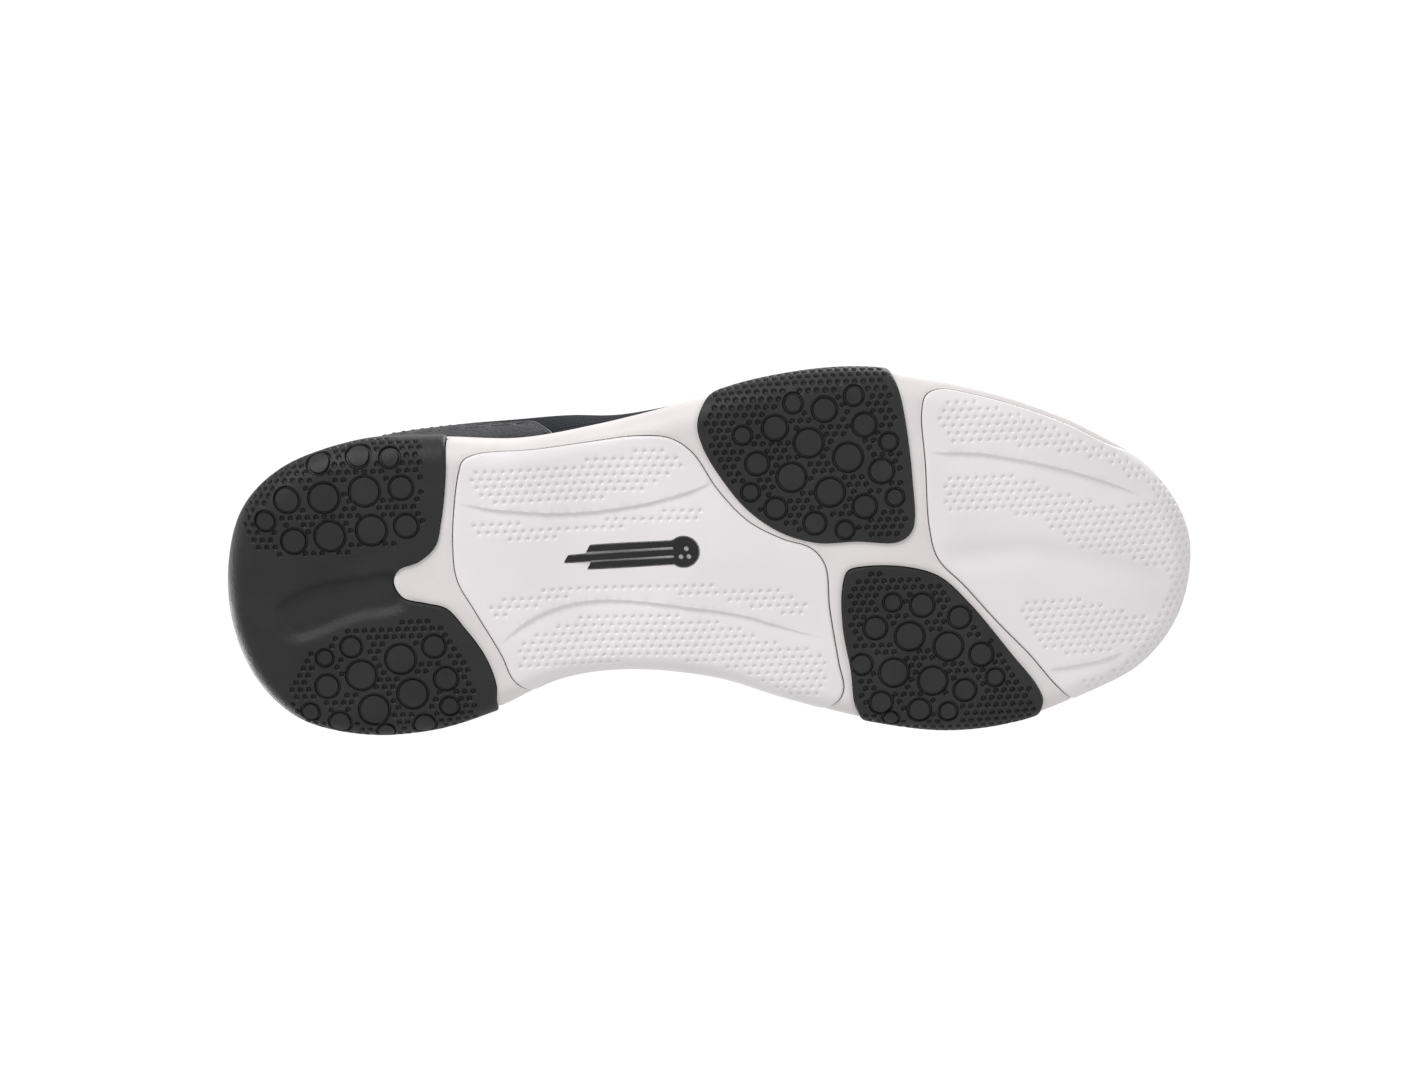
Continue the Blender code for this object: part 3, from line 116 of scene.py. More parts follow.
# Ridge of the upper over the foot, and the stations of its skin.
# Each station: (sole anchor x, y), (top x, y, z), (rise, bulge) at the sole and (drop, bulge) at the top.
HEEL_STATION = ((-149, 8), (-133.5, 5, 93), (22, 3), (22, 1.5))
TOE_STATION = ((150, 6), (110, 5, 45.5), (14, 1), (0.5, 16))
MEDIAL_STATIONS = [
    ((-138, 37), (-124, 28, 89), (20, 3), (18, 2)),
    ((-110, 51.2), (-104, 37.5, 79), (17, 3), (14, 3)),
    ((-84, 49.8), (-82, 40.5, 71), (15, 3), (12, 4)),
    ((-60, 41.4), (-60, 38.5, 73), (15, 6), (13, 7)),
    ((-42, 36.2), (-43, 32, 84), (18, 8), (15, 12)),
    ((-24, 34.6), (-28, 24, 97), (22, 9), (18, 16)),
    ((-2, 37), (-6, 20, 90), (20, 7), (10, 20)),
    ((20, 44.5), (18, 17.5, 79), (18, 4), (6, 24)),
    ((42, 51), (41, 14, 69), (17, 2), (4, 26)),
    ((56, 54.5), (53.5, 9.5, 63.6), (16, 1.5), (2.5, 28)),
]
LATERAL_STATIONS = [
    ((-137, -27.5), (-124, -18, 89), (20, 3), (18, 2)),
    ((-108, -39.2), (-104, -28, 78), (16, 4), (14, 3)),
    ((-84, -40), (-82, -33, 70), (14, 5), (12, 4)),
    ((-60, -38.9), (-60, -31.5, 72), (14, 8), (12, 8)),
    ((-42, -40.5), (-43, -26, 83.5), (18, 7), (14, 14)),
    ((-24, -44.4), (-28, -18.5, 97), (22, 4), (18, 18)),
    ((-2, -49.4), (-6, -16, 90), (20, 3), (10, 22)),
    ((20, -55), (18, -13, 79), (18, 2), (6, 26)),
    ((44, -57), (41, -9.5, 69), (17, 1.5), (4, 27)),
    ((57, -56), (53.5, -5.5, 63.6), (16, 1.5), (2.5, 28)),
]
# On the toe box both sides meet on the ridge, so they share its points.
RIDGE_TOPS = [(58, 2, 62), (73, 2.5, 57.5), (88, 3.5, 53), (101, 4.5, 49)]
MEDIAL_RIDGE_ANCHORS = [(66, 56), (84, 56), (106, 51.5), (128, 42.5)]
LATERAL_RIDGE_ANCHORS = [(68, -54.2), (86, -49.6), (107, -41.5), (128, -29)]
RIDGE_SHAPES = [((16, 1.5), (1, 30)), ((16, 1.5), (1, 27)), ((15, 1.5), (1, 23)), ((15, 1.5), (1, 18))]
THROAT_STATION = 11
TOE_TIP_STATION = 15
STATION_COUNT = 30

# Upper pieces in (station, height share).  UPPER_SCALE gives both about millimetres for meshing.
UPPER_SCALE = np.array([20.0, 62.0])
COUNTER_TOP = 0.62
VAMP_BREAK = [(10.0, 0.4), (10.72, 0.745)]
TOE_CAP_TOP = [(9.75, 0.2), (11.5, 0.3), (15, 0.37), (18.5, 0.3), (20.25, 0.2)]
COUNTER_FRONT = [(4.5, 0), (4.65, 0.25), (4.3, 0.48), (3.0, COUNTER_TOP)]
EYESTAY_BACK = [(6.0, 0.745), (5.85, 1.0)]
TAB_HALF = 0.8
RIM_SHARE = 0.19
EYELET_STATIONS = [6.3, 7.02, 7.74, 8.42, 9.08, 9.7]
EYELET_SETBACK = 6.4
EYELET_OUTER = 3.6
EYELET_INNER = 2.5
LACE_RADIUS = 1.25
LACE_CLEAR = 1.2
# Depth of the lace under the eyestays, and its way through an eyelet as (height, reach inwards).
LACE_UNDER = 4.0
LACE_NUDGE = 0.22
LACE_BEND = [(-2.2, 0), (2.6, 0), (5.3, 2.4), (5.4, 7)]

# Tongue: outer surface of its centre line as (x, z), its half widths and thicknesses along it.
TONGUE_LINE = [
    (62, 57.2), (56, 59.0), (42, 64.4), (18, 75.2), (-6, 87.0), (-24, 98), (-36, 109), (-44, 119.6),
    (-48, 127.8),
]
TONGUE_HALF_WIDTH = [9.5, 11, 13, 16, 19, 20.5, 22, 23.5, 21.5]
TONGUE_THICK = [1.0, 1.1, 4.0, 5.5, 6.0, 6.5, 7.0, 7.0, 5.5]
TONGUE_ARCH = [64, 58, 44, 36, 30, 28, 32, 38, 42]
TONGUE_CENTRE_Y = 2.5

# Webbing loop at the back of the heel.
PULL_TAB_CENTRE = (-134.0, 5.0, 105.5)
PULL_TAB_RADII = (5.4, 11.5)
PULL_TAB_WIDTH = 11.0
PULL_TAB_STRIP = 1.5


def hermite(a, b, start, end, f):
    """Cubic from a to b at share f, leaving and arriving with the given slopes."""
    keep = a * (1 + 2 * f) * (1 - f) ** 2 + b * (3 - 2 * f) * f**2
    return keep + start * f * (1 - f) ** 2 - end * (1 - f) * f**2


def through(x, points):
    """A smooth curve y(x) through given points, held level beyond them."""
    xs, ys = np.array(points, float).T
    x = np.clip(np.asarray(x, float), xs[0], xs[-1])
    slope = np.gradient(ys, xs)
    i = np.clip(np.searchsorted(xs, x, side="right") - 1, 0, len(xs) - 2)
    span = xs[i + 1] - xs[i]
    return hermite(ys[i], ys[i + 1], span * slope[i], span * slope[i + 1], (x - xs[i]) / span)


def curve(points, step, closed=True):
    """A smooth closed or open curve through the points, sampled about every step."""
    p = np.array(points, float)
    before = p[-1:] if closed else 2 * p[:1] - p[1:2]
    after = p[:2] if closed else 2 * p[-1:] - p[-2:-1]
    p = np.vstack([before, p, after])
    knot = np.sqrt(np.linalg.norm(np.diff(p, axis=0), axis=1))
    samples = []
    for i in range(1, len(p) - 2):
        a, b, c = knot[i - 1 : i + 2]
        start = (p[i] - p[i - 1]) / a - (p[i + 1] - p[i - 1]) / (a + b) + (p[i + 1] - p[i]) / b
        end = (p[i + 1] - p[i]) / b - (p[i + 2] - p[i]) / (b + c) + (p[i + 2] - p[i + 1]) / c
        f = np.linspace(0, 1, max(1, round(b * b / step)) + 1)[:-1, None]
        samples.append(hermite(p[i], p[i + 1], b * start, b * end, f))
    return np.vstack(samples if closed else [*samples, p[-2:-1]])


def travelled(line):
    """Distance along a line at each of its points."""
    return np.concatenate([[0], np.cumsum(np.linalg.norm(np.diff(line, axis=0), axis=1))])


def resampled(loop, count):
    """The closed loop again, as count evenly spaced points."""
    ring = np.vstack([loop, loop[:1]])
    along = travelled(ring)
    where = np.linspace(0, along[-1], count, endpoint=False)
    return np.stack([np.interp(where, along, ring[:, k]) for k in range(2)], axis=1)


def outward_normals(loop):
    """Unit plan normals pointing out of a loop that runs anticlockwise."""
    along = np.roll(loop, -1, 0) - np.roll(loop, 1, 0)
    normal = np.stack([along[:, 1], -along[:, 0]], axis=1)
    return normal / np.linalg.norm(normal, axis=1, keepdims=True)


OUTLINE = resampled(curve(SOLE_OUTLINE, OUTLINE_STEP), OUTLINE_COUNT)
OUTLINE_NORMAL = outward_normals(OUTLINE)
OUTLINE_PITCH = np.linalg.norm(OUTLINE[1] - OUTLINE[0])


def outline_index(point):
    """Place of the outline point nearest to a plan point, as a whole index."""
    return int(np.argmin(((OUTLINE - np.array(point, float)) ** 2).sum(1)))


def outline_at(place):
    """Plan points and outward normals at fractional places along the outline."""
    place = np.asarray(place, float) % len(OUTLINE)
    low = np.floor(place).astype(int)
    high = (low + 1) % len(OUTLINE)
    f = (place - low)[..., None]
    normal = OUTLINE_NORMAL[low] * (1 - f) + OUTLINE_NORMAL[high] * f
    normal /= np.linalg.norm(normal, axis=-1, keepdims=True)
    return OUTLINE[low] * (1 - f) + OUTLINE[high] * f, normal


def outline_place(points):
    """Fractional place of the nearest outline point, and how far inside it each point lies."""
    points = np.asarray(points, float)
    nearest = np.array([OUTLINE_TREE.find((p[0], p[1], 0))[1] for p in points])
    tangent = np.stack([-OUTLINE_NORMAL[nearest][:, 1], OUTLINE_NORMAL[nearest][:, 0]], axis=1)
    place = nearest + ((points - OUTLINE[nearest]) * tangent).sum(1) / OUTLINE_PITCH
    foot, normal = outline_at(place)
    return place, ((foot - points) * normal).sum(1)


def tree_of(points):
    """A search tree of plan points."""
    tree = kdtree.KDTree(len(points))
    for i, p in enumerate(points):
        tree.insert((p[0], p[1], 0), i)
    tree.balance()
    return tree


OUTLINE_TREE = tree_of(OUTLINE)


def wall_lean(foot_x):
    """Inward lean of the side wall, in radians: more at the toe bumper."""
    toe = np.clip((np.asarray(foot_x, float) - 105) / 40, 0, 1)
    return np.radians(7 + 8 * toe**2)


def sole_base(x):
    """Height of the frame under the shoe: flat under the ball and heel, raised between and at the ends."""
    x = np.asarray(x, float)
    toe = 13 * (np.clip(x - 62, 0, None) / 88) ** 2.2
    heel = 4 * (np.clip(-124 - x, 0, None) / 26) ** 2
    waist = 2.5 * np.sin(np.pi * np.clip((x + 66) / 62, 0, 1)) ** 2
    return PAD_PROUD + toe + heel + waist


def wall_arc(foot_x, height):
    """Length round the edge and up the wall from the start of the roll to a height above the base."""
    lean = wall_lean(foot_x)
    roll = EDGE_RADIUS * (math.pi / 2 + lean)
    roll_rise = EDGE_RADIUS * (1 - np.cos(math.pi / 2 + lean))
    return roll + (height - roll_rise) / np.cos(lean)


def wall_inset(foot_x, arc):
    """How far inside the widest outline the wall is at this arc length."""
    lean = wall_lean(foot_x)
    turned = np.minimum(arc / EDGE_RADIUS, math.pi / 2 + lean)
    straight = np.clip(arc - EDGE_RADIUS * (math.pi / 2 + lean), 0, None)
    return EDGE_RADIUS * (1 - np.sin(turned)) + straight * np.sin(lean)


def sole_place(flat, lift):
    """Bends points of the flat outsole sheet onto the sole, lifted outwards by lift."""
    flat = np.asarray(flat, float)
    place, inside = outline_place(flat)
    foot, normal = outline_at(place)
    lean = wall_lean(foot[:, 0])
    arc = np.clip(EDGE_RADIUS - inside, 0, None)
    turned = np.minimum(arc / EDGE_RADIUS, math.pi / 2 + lean)
    straight = np.clip(arc - EDGE_RADIUS * (math.pi / 2 + lean), 0, None)
    inset = wall_inset(foot[:, 0], arc)
    plan = np.where((inside >= EDGE_RADIUS)[:, None], flat, foot - normal * inset[:, None])
    rise = EDGE_RADIUS * (1 - np.cos(turned)) + straight * np.cos(lean)
    xy = plan + normal * (lift * np.sin(turned))[:, None]
    z = sole_base(plan[:, 0]) + rise - lift * np.cos(turned)
    return np.column_stack([xy, z])


def skirt(start, end, reach, step=9.0):
    """Points beyond the sole outline from start to end, the way round that a closed outline runs."""
    first, last = outline_index(start), outline_index(end)
    count = (last - first) % len(OUTLINE)
    samples = max(2, round(count * OUTLINE_PITCH / step))
    foot, normal = outline_at(first + np.linspace(0, count, samples))
    return [tuple(p) for p in foot + normal * reach]


def inside_loop(points, loop):
    """Which plan points lie inside the closed loop."""
    x, y = points[:, 0], points[:, 1]
    found = np.zeros(len(points), bool)
    for (ax, ay), (bx, by) in zip(loop, np.roll(loop, -1, 0)):
        crosses = (ay > y) != (by > y)
        if crosses.any():
            at = ax + (y[crosses] - ay) / (by - ay) * (bx - ax)
            found[crosses] ^= x[crosses] < at
    return found


def distance_to_loop(points, loop, closed=True):
    """Distance from each plan point to the loop, or to the open line."""
    found = np.full(len(points), 1e9)
    ends = np.roll(loop, -1, 0) if closed else loop[1:]
    for a, b in zip(loop, ends):
        side = b - a
        f = np.clip(((points - a) @ side) / max(side @ side, 1e-12), 0, 1)
        found = np.minimum(found, np.hypot(*(points - a - f[:, None] * side).T))
    return found


def grown(loop, amount):
    """The loop moved outwards by amount."""
    return loop + outward_normals(loop) * amount


def triangulated(loops, inner):
    """Triangulates loops and inner points.  Returns the points and the triangles of their hull."""
    points = np.vstack([*loops, inner])
    edges = []
    start = 0
    for loop in loops:
        count = len(loop)
        edges += [(start + i, start + (i + 1) % count) for i in range(count)]
        start += count
    made = delaunay_2d_cdt([Vector(p) for p in points], edges, [], 0, 1e-5)
    return np.array([tuple(p) for p in made[0]]), np.array([tuple(f) for f in made[2]])


def edge_uses(triangles):
    """Maps each undirected edge to the triangles on it."""
    uses = {}
    for t, triangle in enumerate(triangles):
        for k in range(3):
            edge = tuple(sorted((int(triangle[k]), int(triangle[(k + 1) % 3]))))
            uses.setdefault(edge, []).append(t)
    return uses


def clear_of(points, loops, margin):
    """The points that are further than margin from every loop."""
    keep = np.ones(len(points), bool)
    for loop in loops:
        keep &= distance_to_loop(points, loop) > margin
    return points[keep]


def wall_top_ring(count):
    """The flat outline of the sole sheet, whose edge is the top of the side wall."""
    place = np.linspace(0, len(OUTLINE), count, endpoint=False)
    foot, normal = outline_at(place)
    height = through(foot[:, 0], RIM_HEIGHT) - sole_base(foot[:, 0])
    reach = wall_arc(foot[:, 0], height) - EDGE_RADIUS
    return foot, normal, foot + normal * reach[:, None]


def cup_inset(foot_x):
    """How far inside the widest outline the inner face of the rim is."""
    height = through(foot_x, RIM_HEIGHT) - sole_base(foot_x)
    return wall_inset(foot_x, wall_arc(foot_x, height)) + RIM_THICK


def badge_frame(points):
    """Turns points given along and across the badge into plan points."""
    points = np.asarray(points, float)
    c, s = math.cos(BADGE_TILT), math.sin(BADGE_TILT)
    return points @ np.array([[c, s], [-s, c]]) + np.array(BADGE_CENTRE)


def level_place(height):
    """A mapping that lays plan points on the height curve, lifted upwards."""
    def place(flat, lift):
        return np.column_stack([flat, through(flat[:, 0], height) + lift])
    return place


def inner_loop(inset, count=72):
    """Plan loop inside the inner face of the rim by inset."""
    foot, normal = outline_at(np.linspace(0, len(OUTLINE), count, endpoint=False))
    return foot - normal * (cup_inset(foot[:, 0]) + inset)[:, None]


def station_table():
    """Anchors, tops and handles of all thirty stations, in order round the shoe."""
    medial_toe = [(a, t, *s) for a, t, s in zip(MEDIAL_RIDGE_ANCHORS, RIDGE_TOPS, RIDGE_SHAPES)]
    lateral_toe = [(a, t, *s) for a, t, s in zip(LATERAL_RIDGE_ANCHORS, RIDGE_TOPS, RIDGE_SHAPES)]
    medial = [HEEL_STATION, *MEDIAL_STATIONS, *medial_toe]
    return [*medial, TOE_STATION, *lateral_toe[::-1], *LATERAL_STATIONS[::-1]]


STATIONS = station_table()
HEEL_PLACE = outline_index(HEEL_STATION[0])


# How far each station's anchor lies back along the outline from the heel, round the arch side.
ANCHOR_TRAVEL = np.array([(HEEL_PLACE - outline_index(s[0])) % len(OUTLINE) for s in STATIONS], float)
TOP_POINTS = np.array([s[1] for s in STATIONS], float)
SHAPE_HANDLES = np.array([[*s[2], *s[3]] for s in STATIONS], float)


def round_stations(values, t, lap=0.0):
    """Smoothly reads station values at fractional stations, adding lap for each full turn."""
    values = np.asarray(values, float)
    t = np.asarray(t, float)
    i = np.floor(t).astype(int)
    f = t - i
    if values.ndim == 2:
        f = f[:, None]

    def value(k):
        extra = lap * np.floor_divide(k, STATION_COUNT)
        return values[k % STATION_COUNT] + (extra[:, None] if values.ndim == 2 else extra)

    a, b, c, d = value(i - 1), value(i), value(i + 1), value(i + 2)
    return hermite(b, c, (c - a) / 2, (d - b) / 2, f)


def upper_skin(t, v):
    """Points of the outer skin at stations t and height shares v."""
    t = np.asarray(t, float)
    v = np.asarray(v, float)
    travel = round_stations(ANCHOR_TRAVEL, t, len(OUTLINE))
    foot, normal = outline_at(HEEL_PLACE - travel)
    plan = foot - normal * (cup_inset(foot[:, 0]) + CUP_GAP)[:, None]
    feather = np.column_stack([plan, through(foot[:, 0], CUP_FLOOR) + 0.5])
    rise = through(foot[:, 0], RIM_HEIGHT) + 1.0 - feather[:, 2]
    up = np.array([0, 0, 1.0])
    side = np.column_stack([normal, np.zeros(len(t))])
    shape = round_stations(SHAPE_HANDLES, t)
    top = round_stations(TOP_POINTS, t)
    start = feather + up * rise[:, None]
    first = start + up * shape[:, :1] + side * shape[:, 1:2]
    second = top - up * shape[:, 2:3] + side * shape[:, 3:4]
    length = np.linalg.norm(first - start, axis=1) * 0.6 + np.linalg.norm(second - first, axis=1)
    length += np.linalg.norm(top - second, axis=1) * 0.6
    share = rise / (rise + length)
    f = np.clip((v - share) / (1 - share), 0, None)[:, None]
    curve = (1 - f) ** 3 * start + 3 * f * (1 - f) ** 2 * first + 3 * f**2 * (1 - f) * second + f**3 * top
    low = feather + up * (rise * np.clip(v / share, 0, 1))[:, None]
    return np.where((v < share)[:, None], low, curve)


def upper_normal(t, v):
    """Outward unit normals of the skin."""
    v = np.clip(v, 0.0, 0.985)
    along = upper_skin(t + 0.02, v) - upper_skin(t - 0.02, v)
    up = upper_skin(t, v + 0.01) - upper_skin(t, np.clip(v - 0.01, 0, None))
    normal = np.cross(up, along)
    return normal / np.linalg.norm(normal, axis=1, keepdims=True)


def shared_normal(t, v):
    """Skin normals that are the same from both sides along the toe ridge."""
    near = upper_normal(t, v)
    far = upper_normal(STATION_COUNT - t, v)
    ridge = (v > 0.96) & (np.abs(t - TOE_TIP_STATION) < TOE_TIP_STATION - THROAT_STATION + 0.3)
    normal = np.where(ridge[:, None], near + far, near)
    return normal / np.linalg.norm(normal, axis=1, keepdims=True)


def upper_place(flat, lift):
    """Places points of the flattened upper, whose axes are scaled stations and height shares."""
    t, v = flat[:, 0] / UPPER_SCALE[0], flat[:, 1] / UPPER_SCALE[1]
    return upper_skin(t, v) + shared_normal(t, v) * lift[:, None]


def overlay_face(flat):
    """Outer lift of an overlay: flush inside the cup of the sole, proud of the knit above it."""
    return OVERLAY_PROUD * np.clip((flat[:, 1] / UPPER_SCALE[1] - RIM_SHARE) / 0.08, 0, 1)


def other_side(corners):
    """The same corners on the lateral side, still in running order."""
    return [(STATION_COUNT - t, v) for t, v in reversed(corners)]


def skin_slopes(t, v):
    """How the skin moves per station and per height share at one place, as two columns."""
    t, v = np.array([t]), np.array([v])
    along = (upper_skin(t + 0.05, v) - upper_skin(t - 0.05, v))[0] / 0.1
    up = (upper_skin(t, v + 0.02) - upper_skin(t, v - 0.02))[0] / 0.04
    return np.column_stack([along, up])


def eyelet_share(t):
    """Height share of the eyelet at station t, set back from the throat edge."""
    return 1 - EYELET_SETBACK / np.linalg.norm(skin_slopes(t, 0.93)[:, 1])


def skin_circle(t, radius, count=12):
    """A true circle round the eyelet at station t, as flattened points."""
    v = eyelet_share(t)
    slopes = skin_slopes(t, v)
    first = slopes[:, 0] / np.linalg.norm(slopes[:, 0])
    second = np.cross(upper_normal(np.array([t]), np.array([v]))[0], first)
    turns = np.arange(count) * 2 * math.pi / count
    rim = radius * (np.cos(turns)[:, None] * first + np.sin(turns)[:, None] * second)
    return (np.array([t, v]) + rim @ np.linalg.pinv(slopes).T) * UPPER_SCALE


def eyelet_frame(t):
    """Centre of the eyelet on the skin and its outward axis."""
    at, share = np.array([t]), np.array([eyelet_share(t)])
    return upper_skin(at, share)[0], upper_normal(at, share)[0]


def rounded(edge, radius):
    """How far a rounded edge has dropped at a distance from it: 1 on the edge and 0 beyond radius."""
    return 1 - np.sqrt(1 - (1 - np.clip(edge / radius, 0, 1)) ** 2)


def loft_faces(rings, sides, closed=False):
    """Faces that join rings of sides points one after another, back to the first if closed."""
    faces = []
    for k in range(rings if closed else rings - 1):
        here, there = k * sides, (k + 1) % rings * sides
        for i in range(sides):
            faces.append((here + i, here + (i + 1) % sides, there + (i + 1) % sides, there + i))
    return faces


def capped_loft(rings, sides):
    """Faces of a tube of rings with a cap at each end."""
    last = (rings - 1) * sides
    return [*loft_faces(rings, sides), tuple(range(sides)), tuple(last + k for k in range(sides))]


def foam_depth(flat):
    """Lift of the foot side of the collar foam: thick in the middle of its height, thin at its edges."""
    share = (flat[:, 1] / UPPER_SCALE[1] - 0.6) / 0.4
    end = np.clip((5.5 - np.abs(flat[:, 0] / UPPER_SCALE[0])) / 1.5, 0, 1)
    return -3.2 - COLLAR_FOAM_DEPTH * np.sin(np.pi * np.clip(share, 0, 1)) * end


def tongue_sections(count):
    """Centre, lean and size of the tongue at evenly spaced sections."""
    line = np.array(TONGUE_LINE, float)
    along = travelled(line)
    at = np.linspace(0, along[-1], count)
    x = through(at, list(zip(along, line[:, 0])))
    z = through(at, list(zip(along, line[:, 1])))
    dx, dz = np.gradient(x, at), np.gradient(z, at)
    size = np.hypot(dx, dz)
    normal = np.column_stack([dz / size, -dx / size])
    listed = (TONGUE_HALF_WIDTH, TONGUE_THICK, TONGUE_ARCH)
    return x, z, normal, *[through(at, list(zip(along, values))) for values in listed]


def tongue_point(section, share, depth):
    """A point of the tongue at a share of its half width and a depth under its outer surface."""
    x, z, normal, half, arch = section
    y = half * share
    drop = arch - math.sqrt(arch**2 - y**2) if abs(y) < arch * 0.95 else arch
    tilt = y / arch
    level = drop + depth * math.sqrt(max(1 - tilt**2, 0.05))
    return (x - normal[0] * level, TONGUE_CENTRE_Y + y - depth * tilt, z - normal[1] * level)


def lace_crossing(row):
    """Points of one lace row, up through the medial eyelet, over the tongue and down the lateral one."""
    medial, medial_axis = eyelet_frame(EYELET_STATIONS[row])
    lateral, lateral_axis = eyelet_frame(STATION_COUNT - EYELET_STATIONS[row])
    middle = (medial + lateral) / 2
    middle[2] = through(middle[0], TONGUE_LINE[::-1]) + LACE_RADIUS + LACE_CLEAR
    half, other = [], []
    for centre, axis, made in ((medial, medial_axis, half), (lateral, lateral_axis, other)):
        inwards = middle - centre
        inwards -= axis * (inwards @ axis)
        inwards /= np.linalg.norm(inwards)
        for height, reach in LACE_BEND:
            made.append(centre + axis * height + inwards * reach)
    other.reverse()
    return half + [middle] + other


def lace_route():
    """The whole lace: straight bars over the tongue, joined under the eyestays, both ends tucked in."""
    route = []
    for row in range(len(EYELET_STATIONS) - 1, -1, -1):
        crossing = lace_crossing(row)
        turned = crossing if (len(EYELET_STATIONS) - row) % 2 else crossing[::-1]
        if route:
            route += eyelet_below(row, route[-1][1] > TONGUE_CENTRE_Y)
        route += turned
    return route


def eyelet_below(row, medial):
    """Two points of the lace under the eyestay, between the eyelets of this row and the last."""
    made = []
    for station in (EYELET_STATIONS[row + 1] - LACE_NUDGE, EYELET_STATIONS[row] + LACE_NUDGE):
        centre, axis = eyelet_frame(station if medial else STATION_COUNT - station)
        made.append(centre - axis * LACE_UNDER)
    return made


# Raised discs of the grip pads as (x, y, radius), each inside a ring groove.
LATERAL_DISCS = [
    (31.1, -36.2, 4.3), (43.0, -31.3, 4.3), (25.6, -25.7, 4.3), (37.2, -20.7, 4.3), (26.7, -48.4, 2.7),
    (36.2, -46.3, 3.6), (45.2, -50.0, 2.7), (21.0, -41.2, 3.7), (48.2, -41.2, 3.5), (55.5, -35.7, 2.6),
    (11.0, -39.2, 2.7), (15.2, -30.3, 3.4), (53.1, -26.7, 3.6), (12.9, -21.5, 2.6), (20.5, -16.2, 3.2),
    (47.7, -15.9, 3.5), (57.0, -18.4, 2.6), (32.3, -11.2, 3.3), (41.5, -8.8, 2.65),
]
MEDIAL_DISCS = [
    (60.5, 25.3, 4.3), (72.4, 28.9, 4.3), (55.4, 36.6, 4.3), (67.3, 39.6, 4.3), (55.5, 14.5, 2.65),
    (64.6, 15.6, 3.5), (50.0, 22.3, 3.4), (76.0, 19.9, 3.3), (82.5, 31.9, 3.5), (45.5, 33.7, 3.1),
    (77.2, 43.0, 3.3), (86.7, 39.4, 2.65), (51.2, 46.0, 3.3), (63.0, 48.7, 3.3), (71.9, 49.5, 2.65),
    (54.2, 51.4, 2.4),
]
HEEL_DISCS = [
    (-117.4, -24.4, 4.5), (-104.9, -26.0, 4.5), (-116.2, -12.4, 4.5), (-103.4, -13.8, 4.5),
    (-118.7, -35.1, 3.5), (-106.4, -36.8, 3.5), (-96.8, -35.9, 2.85), (-128.7, -23.9, 3.6),
    (-93.7, -26.7, 3.5), (-135.7, -17.5, 2.8), (-127.3, -11.2, 3.7), (-92.7, -14.8, 3.5),
    (-108.9, 31.6, 4.5), (-96.6, 26.9, 4.5), (-105.5, 42.6, 4.5), (-93.4, 38.0, 4.5), (-119.9, 25.7, 2.5),
    (-111.6, 22.5, 3.1), (-119.6, 34.7, 3.5), (-86.1, 23.2, 3.4), (-125.3, 42.8, 2.7), (-116.4, 46.6, 3.4),
    (-82.9, 33.6, 3.5), (-82.2, 42.3, 2.7), (-90.3, 48.2, 3.4), (-102.4, 50.3, 2.8),
]
# Outlines of the dimpled zones.
HEEL_ZONES = [
    [(-88.5, -12), (-88, -22), (-87.5, -40), (-95, -43), (-112, -43), (-130, -38), (-142, -24), (-143, -13),
     (-136, -8), (-120, -6.5), (-104, -8)],
    [(-124, 24), (-112, 17.5), (-98, 15.5), (-84, 16), (-78.5, 24), (-75, 34), (-74.5, 47), (-90, 53),
     (-108, 55), (-124, 50), (-132, 41)],
]
MIDFOOT_ZONES = [
    [(-73.3, -30.2), (-63.3, -32), (-49.1, -31.5), (-34.9, -33.1), (-13.5, -35.3), (-7.3, -30.7),
     (-12.4, -26.2), (-28.2, -21.3), (-49.5, -19.9), (-70.7, -22.1)],
    [(-72.4, -14.9), (-53.3, -13.5), (-35.5, -13.6), (-21.3, -15.3), (-2.1, -16.8), (-1.4, -13.9),
     (-21.4, -11.7), (-42.7, -10.3), (-49.9, -8.7), (-71.1, -11.3)],
    [(-67.6, 10.6), (-57.6, 8), (-39.8, 6.5), (-14.9, 5.9), (6.3, 8.1), (24, 10.2), (30.2, 15.5),
     (23.1, 17.4), (-0.9, 10.8), (-25, 9.2), (-39.9, 9.4), (-57.7, 13.1), (-67.8, 14.9)],
    [(-61.1, 26.7), (-50.9, 19.8), (-36.5, 16), (-15.2, 16), (5.9, 20.4), (19.9, 26), (33.9, 31.5),
     (33.6, 41.6), (28.5, 45.1), (12.4, 37.3), (-5.1, 31.6), (-25.7, 30.9), (-44.2, 32.4), (-58.4, 32.6)],
]
TOE_ZONES = [
    [(72.2, -47.4), (84.9, -46.9), (94.9, -43.2), (108.1, -37.2), (121.3, -30.6), (133.1, -24.7),
     (137.6, -19.8), (132.9, -19.3), (121.1, -25.8), (101.2, -31.3), (87.8, -33.8), (72.5, -35.8)],
    [(73.4, -24.1), (94.2, -23.4), (110.7, -16.6), (127.3, -11.3), (136.8, -14.3), (136.4, -20.6),
     (142.9, -17.9), (149.3, -7.1), (152.5, 6.6), (151.3, 20.2), (144.6, 31.3), (132.3, 41.5),
     (131.2, 32.6), (139.5, 23.3), (142.6, 13.2), (136.7, 8.2), (113.5, -0.1), (100.4, -9.5),
     (87.1, -12), (73.7, -13.8)],
    [(95.5, 16.3), (112.9, 16.2), (129.5, 21.6), (136.2, 23.2), (132.5, 31.3), (119.1, 33.5),
     (104.3, 32.3), (95.3, 21.8)],
    [(114.1, 42.2), (125.5, 39.9), (132.4, 35.4), (137.7, 38.2), (127.4, 46.7), (116, 47)],
]
